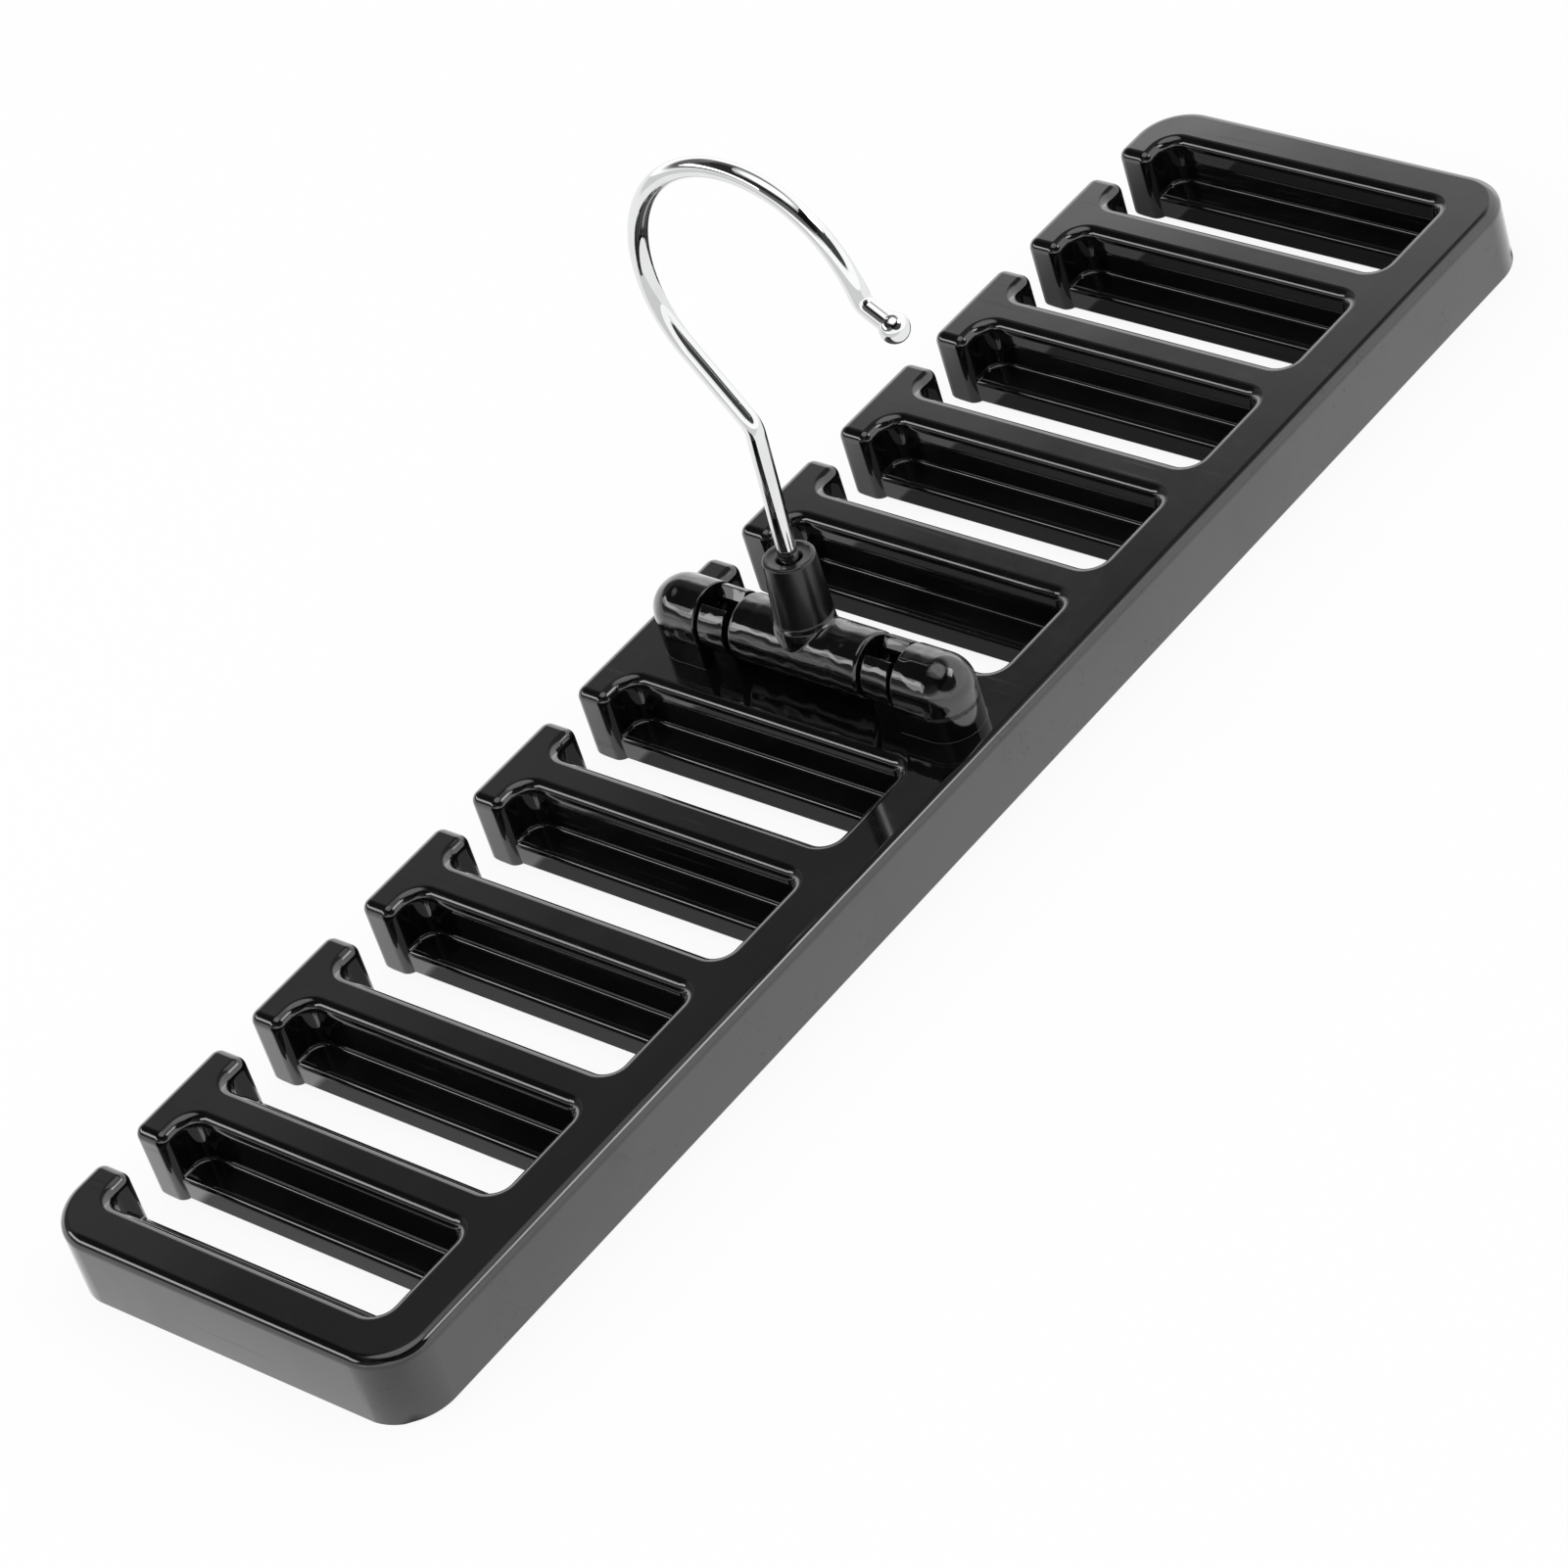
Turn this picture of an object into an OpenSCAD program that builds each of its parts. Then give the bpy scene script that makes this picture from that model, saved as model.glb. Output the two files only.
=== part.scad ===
// Tie hanger: a flat moulded rack with T-headed fingers, a folding yoke and a swivelling wire hook.
// Lengths are in millimetres. The origin is the centre of the rack's underside, with Z up,
// X along the rack and the open mouths of the slots facing +Y.

/* [Rack] */
// Length of the rack, end to end
rack_l = 320; // [295:1:420]
// Depth of the rack, from the spine's outer face to the heads' outer faces
rack_w = 80.5; // [78:0.5:120]
// Height of the rack
rack_h = 14.3; // [11:0.1:20]
// Width of the spine that carries the fingers
spine_w = 10.8; // [8:0.1:16]
// Width of each end arm
arm_w = 9.5; // [7:0.1:14]
// Radius of the rounding along the top edges
edge_r = 2; // [1:0.1:2.6]
// Radius of the four outer corners, seen from above
corner_r = 10; // [4:0.5:14]

/* [Fingers] */
// Width of a finger's stem
finger_w = 8; // [6:0.1:10]
// Width of the middle finger, which carries the hinge
middle_w = 25.5; // [20:0.1:34]
// Reach of a head past its stem, on each side
head_lip = 7; // [6:0.1:8]
// Thickness of a head, from its inner face to its outer face
head_t = 7.4; // [6:0.1:12]
// Radius of the hollow corners at the spine and under the heads
root_r = 3.2; // [2:0.1:4]
// Width of the low ledge on each side of a stem
ledge_w = 6; // [3:0.1:6.8]
// Height of the ledge
ledge_h = 4.9; // [3:0.1:8]
// Radius of the ledge's upper edge
ledge_r = 1.1; // [0.4:0.1:2]
// Thickness of the walls round the hollow underside
wall_t = 2.2; // [1.6:0.1:2.6]
// Thickness of the ribs across the hollow underside
rib_t = 1.6; // [1:0.1:2.4]

/* [Hinge] */
// Offset of the hinge's middle from the rack's centre line, towards the spine
hinge_shift = 1.75; // [0:0.05:3]
// Radius of the yoke's barrel and of the posts beside it
barrel_r = 6.05; // [5:0.05:8]
// Length of the barrel
barrel_l = 28.8; // [22:0.1:32]
// Gap between the barrel and the rack's top
barrel_gap = 1.5; // [0.5:0.1:4]
// Radius of the rounding at the barrel's ends
barrel_edge_r = 0.8; // [0.3:0.1:1.5]
// Radius of the yoke's axle stubs
axle_r = 2.6; // [2:0.05:3.2]
// Thickness of an axle stub across its two flats
axle_flat_t = 2.4; // [1.8:0.05:2.5]
// Radial clearance of the axle stubs in their clips
axle_fit = 0.05; // [0.02:0.01:0.1]
// Wall of a clip round its bore
clip_wall = 3.25; // [2:0.05:3.25]
// Length of a clip along the hinge axis
clip_l = 5.6; // [4:0.1:7]
// Gap between the barrel and each clip
clip_gap = 1.1; // [0.4:0.1:2]
// Width of the snap slot in the top of a clip
snap_w = 2.6; // [2.55:0.05:3.4]
// Width of the web under a clip
clip_web_w = 9; // [6:0.1:11]
// Gap between each clip and its domed post
post_gap = 0.9; // [0.4:0.1:2]
// Length of a post before its dome begins
post_l = 6.4; // [3:0.1:8]

/* [Boss] */
// Height of the boss above the hinge axis
boss_h = 19.2; // [14:0.1:26]
// Radius of the boss at its top
boss_top_r = 4.7; // [4:0.05:5.6]
// Radius that the boss has widened to at the hinge axis
boss_base_r = 5.6; // [4.8:0.05:6]
// Radius of the rounding round the boss's rim
rim_r = 0.45; // [0.2:0.05:0.8]
// Radius of the shallow dish in the boss's top
dish_r = 3.85; // [3:0.05:4]
// Depth of the dish
dish_d = 0.35; // [0.1:0.05:1]
// Radius of the bore's flared mouth
bore_mouth_r = 2.3; // [2:0.05:2.7]
// Depth of the bore's flared mouth
bore_mouth_d = 1.4; // [0.5:0.1:3]

/* [Hook] */
// Diameter of the hook's wire
wire_d = 3.5; // [2.8:0.1:3.8]
// Radial clearance of the wire in the boss
wire_fit = 0.05; // [0.02:0.01:0.1]
// Lean of the yoke and hook to one side, in degrees
lean = 3.4; // [0:0.1:8]
// Height above the hinge axis at which the wire leaves its straight shank
shank_h = 44.3; // [32:0.1:60]
// Bend radius of the wire at the top of the shank
shank_bend_r = 5; // [4:0.1:12]
// Turn of the wire at the top of the shank, in degrees
shank_angle = 39.25; // [20:0.25:50]
// Length of the slanting run between the shank and the crook
slant_l = 14.7; // [6:0.1:24]
// Bend radius of the crook
crook_r = 24.4; // [18:0.1:32]
// Turn of the crook, in degrees
crook_angle = 203.5; // [170:0.5:215]
// Length of the straight run between the crook and the flare of the tip
flare_l = 1; // [0.5:0.1:4]
// Bend radius where the tip flares out
tip_bend_r = 3; // [2.4:0.1:6]
// Turn of the flared tip, in degrees
tip_angle = 43.7; // [20:0.1:60]
// Length of the straight tip, up to the ball's centre
tip_l = 5.4; // [4:0.1:10]
// Diameter of the ball on the tip
ball_d = 5.2; // [4.6:0.1:7]
// Radial clearance of the wire in the ball
ball_fit = 0.02; // [0.01:0.01:0.1]
// Radius of the upset head that holds the wire in the yoke
upset_r = 2.7; // [2.4:0.05:3.2]
// Thickness of the upset head
upset_t = 1.8; // [1:0.1:3]
// Radial room round the upset head
upset_room = 0.4; // [0.3:0.05:0.6]
// Play between the upset head and its seat
upset_play = 0.1; // [0.05:0.05:0.3]
// Height of the seat above the hinge axis
seat_h = 2; // [0:0.1:5]

/* [Hidden] */
// Smoothness of round faces
$fn = 64;
// Number of T-headed fingers on each side of the middle finger
side_fingers = 4;
// Overrun of cuts past the faces that they open
over = 1;
// Swell of the joint balls in the bent wire, and half the gap that each one bridges
joint_swell = 0.02;
joint_gap = 0.05;
// Share of the gap before a post that the axle stub reaches over
axle_end_share = 0.5;

// Width of every slot at its walls
slot_w = (rack_l - middle_w - 2 * arm_w - 2 * side_fingers * finger_w) / (2 * side_fingers + 2);
// Places across the rack
spine_y = spine_w - rack_w / 2;
head_y = rack_w / 2 - head_t;
// Places where the hollow corners end, along the stems and the heads
root_y = spine_y + root_r;
neck_y = head_y - root_r;
notch_y = spine_y - edge_r;
// Share of the walls beside an outer corner that its radius may take up
corner_share = 0.98;
outer_r = min(corner_r, corner_share * (head_t + root_r), corner_share * (arm_w + root_r));
// Hinge axis and the places along it, counted from the hinge's middle
axis_z = rack_h + barrel_gap + barrel_r;
barrel_end = barrel_l / 2;
clip_in = barrel_end + clip_gap;
clip_out = clip_in + clip_l;
post_in = clip_out + post_gap;
axle_end = clip_out + post_gap * axle_end_share;
// Bores and rings
clip_bore_r = axle_r + axle_fit;
clip_r = clip_bore_r + clip_wall;
wire_r = wire_d / 2;
wire_bore_r = wire_r + wire_fit;
// Foot of the wire, where its upset head bears on the seat inside the yoke
wire_foot = seat_h - upset_play;
// Steps of the hook's wire from its foot up, each a straight run, a bend radius and a turn
hook_steps = [
    [shank_h - wire_foot, shank_bend_r, shank_angle],
    [slant_l, crook_r, -crook_angle],
    [flare_l, tip_bend_r, tip_angle],
    [tip_l, 0, 0]
];

moulding = "#2a2c30";
chrome = "#c9ccd1";

// Centre of a finger, counted from 0 at the near end of the rack
function finger_x(i) = i < side_fingers
    ? arm_w + slot_w - rack_l / 2 + finger_w / 2 + i * (slot_w + finger_w)
    : -finger_x(2 * side_fingers - 1 - i);

// Space of a hollow in the underside, open below, up to the given height
module hollow(x0, x1, y0, y1, top) {
    translate([x0, y0, -over]) cube([x1 - x0, y1 - y0, top + over]);
}

// Core that binds the blocks of a body together, well inside their faces
module core(x0, x1, y0, y1) {
    translate([x0, y0, 0]) cube([x1 - x0, y1 - y0, rack_h - edge_r]);
}

// Profile between two places, with its top edges rounded where asked
module profile(from, to, round_from, round_to, height = rack_h, radius = edge_r) {
    cut_from = round_from ? radius : 0;
    cut_to = round_to ? radius : 0;
    translate([from, 0]) square([to - from, height - radius]);
    translate([from + cut_from, 0]) square([to - from - cut_from - cut_to, height]);
    if (round_from) translate([from + radius, height - radius]) circle(radius);
    if (round_to) translate([to - radius, height - radius]) circle(radius);
}

// A profile drawn in X and Z, run along Y
module run_y(y0, y1) {
    translate([0, y1, 0]) rotate([90, 0, 0]) linear_extrude(y1 - y0) children();
}

// A profile drawn in Y and Z, run along X
module run_x(x0, x1) {
    translate([x0, 0, 0]) rotate([90, 0, 90]) linear_extrude(x1 - x0) children();
}

// Rounded outer corner about its centre, filling the quarter that starts at the given angle
module outer_corner(x, y, radius, start) {
    translate([x, y, 0]) rotate([0, 0, start]) rotate_extrude(angle = 90)
        profile(0, radius, false, true);
}

// Profile of the space beside a hollow corner, flared where the edge rounding runs round it
module cove_profile() {
    translate([0, -over]) square([root_r, rack_h + 2 * over]);
    translate([0, rack_h]) square([root_r + edge_r, over]);
    difference() {
        translate([0, rack_h - edge_r]) square([root_r + edge_r, edge_r]);
        translate([root_r + edge_r, rack_h - edge_r]) circle(edge_r);
    }
}

// Space of a hollow corner, run on past the two faces that it opens
module cove(x, y, start) {
    translate([x, y, 0]) rotate([0, 0, start]) {
        rotate_extrude(angle = 90) cove_profile();
        rotate([90, 0, 0]) linear_extrude(over) cove_profile();
        translate([-over, 0, 0]) rotate([90, 0, 90]) linear_extrude(over) cove_profile();
    }
}

// Profile of a strip as wide as its rounding, which laps into what lies before it where asked
module quarter_profile(from, lap = 0) {
    translate([from - lap, 0]) square([edge_r + lap, rack_h - edge_r]);
    translate([from, rack_h - edge_r]) intersection() {
        circle(edge_r);
        square(edge_r);
    }
}

// Corner of a head's tip, rounded alike seen from above and from the side
module tip_corner(x, y, start) {
    translate([x, y, 0]) rotate([0, 0, start]) rotate_extrude(angle = 90)
        quarter_profile(0);
}

// End of a head past its hollow corner, pointing to +X
module head_wing(stem_half) {
    start_x = stem_half + root_r;
    tip_x = stem_half + head_lip;
    run_x(start_x, tip_x - edge_r) profile(head_y, rack_w / 2, true, true);
    run_y(head_y + edge_r, rack_w / 2 - edge_r) profile(start_x, tip_x, false, true);
    tip_corner(tip_x - edge_r, rack_w / 2 - edge_r, 0);
    tip_corner(tip_x - edge_r, head_y + edge_r, -90);
    core(start_x - over, tip_x - edge_r / 2, head_y + edge_r / 2, (rack_w - edge_r) / 2);
}

// Hollow under a finger, which leaves one wall all round
module finger_hollow(stem_w) {
    stem_in = stem_w / 2 - wall_t;
    ledge_in = stem_w / 2 + ledge_w - wall_t;
    head_in = stem_w / 2 + head_lip - wall_t;
    end_y = rack_w / 2 - wall_t;
    hollow(-stem_in, stem_in, spine_y, end_y, rack_h - wall_t);
    hollow(-ledge_in, ledge_in, spine_y, head_y, ledge_h - wall_t);
    hollow(-head_in, head_in, head_y + wall_t, end_y, rack_h - wall_t);
}

// Finger with its root, stem, head and ledges, centred on X = 0
module t_finger(stem_w) {
    half = stem_w / 2;
    wide = half + root_r;
    run_y(root_y, neck_y) profile(-half, half, true, true);
    core(edge_r - half, half - edge_r, notch_y + over, rack_w / 2 - edge_r);
    difference() {
        translate([-wide, notch_y, 0]) cube([2 * wide, root_y - notch_y, rack_h]);
        cove(wide, root_y, 180);
        cove(-wide, root_y, -90);
    }
    difference() {
        run_x(-wide, wide) profile(neck_y, rack_w / 2, false, true);
        cove(wide, neck_y, 90);
        cove(-wide, neck_y, 0);
    }
    head_wing(half);
    mirror([1, 0, 0]) head_wing(half);
    run_y(spine_y, head_y) profile(-half - ledge_w, half + ledge_w, true, true, ledge_h, ledge_r);
}

// Bar along the closed side, stepped back where each finger's root enters it
module spine() {
    end_x = rack_l / 2 - arm_w - root_r;
    left_roots = [for (i = [0 : side_fingers - 1]) [finger_x(i), finger_w / 2]];
    right_roots = [for (i = [side_fingers : 2 * side_fingers - 1]) [finger_x(i), finger_w / 2]];
    roots = concat(left_roots, [[0, middle_w / 2]], right_roots);
    // Each strip runs from the right of one root to the left of the next
    starts = concat([-end_x], [for (root = roots) root[0] + root[1] + root_r]);
    ends = concat([for (root = roots) root[0] - root[1] - root_r], [end_x]);
    // Ribs across the hollow stand under the middle of each root and at both ends
    rib_x = concat([-end_x], [for (root = roots) root[0]], [end_x]);
    color(moulding) difference() {
        union() {
            run_x(-end_x, end_x) profile(-rack_w / 2, notch_y, true, false);
            for (i = [0 : len(starts) - 1])
                run_x(starts[i], ends[i]) quarter_profile(notch_y, over);
        }
        for (i = [1 : len(rib_x) - 1])
            hollow(rib_x[i - 1] + rib_t / 2, rib_x[i] - rib_t / 2, wall_t - rack_w / 2,
                spine_y - wall_t, rack_h - wall_t);
    }
}

// End arm with its half head and its corner of the spine, at the near end, before it is hollowed
module arm_block() {
    out_x = -rack_l / 2;
    wall_x = out_x + arm_w;
    wide = wall_x + root_r;
    run_y(root_y, neck_y) profile(out_x, wall_x, true, true);
    difference() {
        union() {
            outer_corner(out_x + outer_r, rack_w / 2 - outer_r, outer_r, 90);
            run_y(neck_y, rack_w / 2 - outer_r) profile(out_x, out_x + outer_r, true, false);
            run_x(out_x + outer_r, wide) profile(neck_y, rack_w / 2, false, true);
        }
        cove(wide, neck_y, 90);
    }
    difference() {
        union() {
            outer_corner(out_x + outer_r, outer_r - rack_w / 2, outer_r, 180);
            run_y(outer_r - rack_w / 2, root_y) profile(out_x, out_x + outer_r, true, false);
            run_x(out_x + outer_r, wide) profile(-rack_w / 2, root_y, true, false);
        }
        cove(wide, root_y, 180);
    }
    translate([wall_x, 0, 0]) head_wing(0);
    run_y(spine_y, head_y) profile(wall_x - ledge_r, wall_x + ledge_w, false, true, ledge_h, ledge_r);
    core(out_x + edge_r, wall_x - edge_r, (outer_r - rack_w) / 2, (rack_w - outer_r) / 2);
    core(out_x + outer_r / 2, wide, head_y + edge_r / 2, (rack_w - outer_r) / 2);
    core(out_x + outer_r / 2, wide, (outer_r - rack_w) / 2, notch_y);
}

// End arm with its hollow, at the near end
module end_arm() {
    out_x = -rack_l / 2;
    wall_x = out_x + arm_w;
    difference() {
        arm_block();
        hollow(out_x + wall_t, wall_x - wall_t, outer_r - rack_w / 2, rack_w / 2 - outer_r,
            rack_h - wall_t);
        hollow(out_x + wall_t, wall_x + ledge_w - wall_t, spine_y, head_y, ledge_h - wall_t);
    }
}

module end_arm_near() {
    color(moulding) end_arm();
}

module end_arm_far() {
    color(moulding) mirror([1, 0, 0]) end_arm();
}

module finger(i) {
    color(moulding) translate([finger_x(i), 0, 0]) difference() {
        t_finger(finger_w);
        finger_hollow(finger_w);
    }
}

// Ribs under the middle finger, one along it and one across under each clip
module middle_ribs() {
    long_l = rack_w + over;
    clip_y = clip_in + clip_l / 2;
    translate([-rib_t / 2, -long_l / 2, 0]) cube([rib_t, long_l, rack_h]);
    for (y = [-hinge_shift - clip_y, clip_y - hinge_shift])
        translate([-middle_w / 2, y - rib_t / 2, 0]) cube([middle_w, rib_t, rack_h]);
}

module middle_finger() {
    color(moulding) difference() {
        t_finger(middle_w);
        difference() {
            finger_hollow(middle_w);
            middle_ribs();
        }
    }
}

// Domed post beyond the clip, on the +Y side of the hinge's middle
module hinge_post() {
    dome_y = post_in + post_l;
    color(moulding) {
        run_y(post_in, dome_y) {
            translate([-barrel_r, rack_h]) square([2 * barrel_r, axis_z - rack_h]);
            translate([0, axis_z]) circle(barrel_r);
        }
        translate([0, dome_y, 0]) rotate_extrude(angle = 180) {
            translate([0, rack_h]) square([barrel_r, axis_z - rack_h]);
            intersection() {
                translate([0, axis_z]) circle(barrel_r);
                translate([0, axis_z]) square(barrel_r);
            }
        }
    }
}

module hinge_post_near() {
    translate([0, -hinge_shift, 0]) mirror([0, 1, 0]) hinge_post();
}

module hinge_post_far() {
    translate([0, -hinge_shift, 0]) hinge_post();
}

// Snap clip that the axle stub is pressed down into, on the +Y side of the hinge's middle
module axle_clip() {
    color(moulding) difference() {
        run_y(clip_in, clip_out) {
            translate([0, axis_z]) circle(clip_r);
            translate([-clip_web_w / 2, rack_h]) square([clip_web_w, axis_z - rack_h]);
        }
        translate([0, clip_in - over, axis_z]) {
            rotate([-90, 0, 0]) cylinder(r = clip_bore_r, h = clip_l + 2 * over);
            translate([-snap_w / 2, 0, 0]) cube([snap_w, clip_l + 2 * over, clip_r + over]);
        }
    }
}

module axle_clip_near() {
    translate([0, -hinge_shift, 0]) mirror([0, 1, 0]) axle_clip();
}

module axle_clip_far() {
    translate([0, -hinge_shift, 0]) axle_clip();
}

// Places its children with the hinge axis at their origin and the boss along their Z
module at_hinge() {
    translate([0, -hinge_shift, axis_z]) rotate([0, lean, 0]) children();
}

// Barrel as a round bar with softened ends, along Z
module barrel() {
    rotate_extrude() {
        translate([0, -barrel_end]) square([barrel_r - barrel_edge_r, barrel_l]);
        translate([0, barrel_edge_r - barrel_end]) square([barrel_r, barrel_l - 2 * barrel_edge_r]);
        for (y = [barrel_edge_r - barrel_end, barrel_end - barrel_edge_r])
            translate([barrel_r - barrel_edge_r, y]) circle(barrel_edge_r);
    }
}

// Tapering boss with a rounded rim, along Z
module boss() {
    rotate_extrude() {
        polygon([
            [0, 0],
            [boss_base_r, 0],
            [boss_top_r, boss_h - rim_r],
            [boss_top_r - rim_r, boss_h],
            [0, boss_h]
        ]);
        translate([boss_top_r - rim_r, boss_h - rim_r]) circle(rim_r);
    }
}

// Axle stubs with two flats, which pass a clip's slot only when the yoke is folded down
module axle() {
    intersection() {
        rotate([90, 0, 0]) cylinder(r = axle_r, h = 2 * axle_end, center = true);
        cube([2 * axle_r + over, 2 * axle_end + over, axle_flat_t], center = true);
    }
}

module hinge_yoke() {
    color(moulding) at_hinge() difference() {
        union() {
            rotate([90, 0, 0]) barrel();
            boss();
            axle();
        }
        translate([0, 0, boss_h - dish_d]) cylinder(r = dish_r, h = dish_d + over);
        cylinder(r = wire_bore_r, h = boss_h);
        translate([0, 0, boss_h - dish_d - bore_mouth_d])
            cylinder(r1 = wire_bore_r, r2 = bore_mouth_r, h = bore_mouth_d);
        translate([0, 0, -barrel_r - over])
            cylinder(r = upset_r + upset_room, h = barrel_r + over + seat_h);
    }
}

// Bend of the wire that leaves along +Z and turns towards +Y, short of both ends by the joint gap
module wire_bend(radius, turn) {
    trim = atan(joint_gap / radius);
    translate([0, radius, 0]) rotate([90, 0, -90]) rotate([0, 0, trim])
        rotate_extrude(angle = turn - 2 * trim) translate([radius, 0]) circle(wire_r);
}

// Ball that joins a run and a bend of the wire
module wire_joint() {
    sphere(r = wire_r + joint_swell);
}

// Wire made of steps of a straight run and a bend, where a minus turn goes towards -Y
module wire_steps(steps, i) {
    run = steps[i][0];
    turn = steps[i][2];
    last = i == len(steps) - 1;
    foot = i == 0 ? 0 : joint_gap;
    if (i > 0) wire_joint();
    translate([0, 0, foot]) cylinder(r = wire_r, h = run - foot - (last ? 0 : joint_gap));
    if (!last) {
        translate([0, 0, run]) {
            wire_joint();
            rotate([0, 0, turn < 0 ? 180 : 0]) wire_bend(steps[i][1], abs(turn));
        }
        after_step(steps[i]) wire_steps(steps, i + 1);
    }
}

// Places its children at the end of one step, with Z along the wire
module after_step(step) {
    centre_y = step[2] < 0 ? -step[1] : step[1];
    translate([0, centre_y, step[0]]) rotate([-step[2], 0, 0]) translate([0, -centre_y, 0]) children();
}

module hook_wire() {
    color(chrome) at_hinge() translate([0, 0, wire_foot]) {
        wire_steps(hook_steps, 0);
        translate([0, 0, -upset_t]) cylinder(r = upset_r, h = upset_t);
    }
}

module ball_tip() {
    color(chrome) at_hinge() translate([0, 0, wire_foot])
        after_step(hook_steps[0]) after_step(hook_steps[1])
        after_step(hook_steps[2]) after_step(hook_steps[3]) difference() {
            sphere(d = ball_d);
            translate([0, 0, -ball_d]) cylinder(r = wire_r + ball_fit, h = ball_d);
        }
}

spine();
end_arm_near();
end_arm_far();
finger(0);  // finger_1
finger(1);  // finger_2
finger(2);  // finger_3
finger(3);  // finger_4
finger(4);  // finger_5
finger(5);  // finger_6
finger(6);  // finger_7
finger(7);  // finger_8
middle_finger();
hinge_post_near();
hinge_post_far();
axle_clip_near();
axle_clip_far();
hinge_yoke();
hook_wire();
ball_tip();
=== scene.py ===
"""Tie hanger: a moulded rack with T-headed fingers, a folding yoke and a swivelling wire hook.

Laid out as a Blender add-on and run as a script. Sizes are in metres, in the frame's coordinates.
"""

import math

import bmesh
import bpy
from bpy.props import FloatProperty, FloatVectorProperty, IntProperty, PointerProperty
from bpy.types import Operator, Panel, PropertyGroup
from mathutils import Matrix, Vector


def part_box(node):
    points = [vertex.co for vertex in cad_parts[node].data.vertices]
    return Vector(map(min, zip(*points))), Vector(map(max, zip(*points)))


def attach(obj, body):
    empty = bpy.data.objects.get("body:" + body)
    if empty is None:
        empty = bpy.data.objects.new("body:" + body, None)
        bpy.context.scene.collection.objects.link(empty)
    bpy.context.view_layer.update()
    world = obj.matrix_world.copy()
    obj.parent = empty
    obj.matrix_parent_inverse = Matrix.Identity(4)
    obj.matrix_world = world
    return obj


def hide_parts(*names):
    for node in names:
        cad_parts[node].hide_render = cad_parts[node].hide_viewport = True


bl_info = {
    "name": "Tie hanger",
    "version": (1, 0, 0),
    "blender": (4, 5, 0),
    "location": "3D View > Sidebar > Tie hanger",
    "description": "Builds a folding tie hanger with T-headed fingers and a wire hook",
    "category": "Add Mesh",
}

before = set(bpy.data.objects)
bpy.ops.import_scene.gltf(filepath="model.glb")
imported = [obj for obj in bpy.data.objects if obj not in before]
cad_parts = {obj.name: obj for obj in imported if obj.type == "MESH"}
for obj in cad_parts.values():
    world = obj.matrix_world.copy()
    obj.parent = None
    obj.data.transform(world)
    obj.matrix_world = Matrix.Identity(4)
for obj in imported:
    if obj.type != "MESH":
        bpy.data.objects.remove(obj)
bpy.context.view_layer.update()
NEAR_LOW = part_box("end_arm_near")[0]
FAR_LOW, FAR_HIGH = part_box("end_arm_far")

MM = 0.001
SAME = 0.002 * MM  # points closer than this are one
TINY = 1e-7  # how far a point may lie from a plane that it belongs to
BURIED = 0.6 * MM  # how far ledges and creases run on inside the walls
SUNK = 0.5 * MM  # how far posts and webs stand inside the rack
PAST = 1 * MM  # how far a space that is cut away runs past the faces it opens
SOFT, FINE = 0.3 * MM, 0.2 * MM  # roundings of small edges
NOWHERE = 1.0  # a height that no piece reaches
QUARTER = math.pi / 2
X, Y, Z = Vector((1, 0, 0)), Vector((0, 1, 0)), Vector((0, 0, 1))
WHITE = (1.0, 1.0, 1.0, 1.0)
RACK_NODES = (
    ["spine", "end_arm_near", "end_arm_far", "middle_finger"]
    + [f"finger_{i}" for i in range(1, 9)]
    + ["hinge_post_near", "hinge_post_far", "axle_clip_near", "axle_clip_far"]
)


# Sizes and colours that a user would change


def size(name, description, value):
    """A length, given in millimetres."""
    return FloatProperty(
        name=name, description=description, default=value * MM, min=0.0, precision=5,
        unit="LENGTH",
    )


def turn(name, description, degrees):
    """An angle, given in degrees."""
    return FloatProperty(
        name=name, description=description, default=math.radians(degrees), precision=4,
        subtype="ANGLE", unit="ROTATION",
    )


def share(name, description, value):
    """A plain number from 0 to 1."""
    return FloatProperty(name=name, description=description, default=value, min=0.0, max=1.0)


def colour(name, description, value):
    """A surface colour."""
    return FloatVectorProperty(
        name=name, description=description, default=value, size=3, min=0.0, max=1.0,
        subtype="COLOR",
    )


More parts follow.
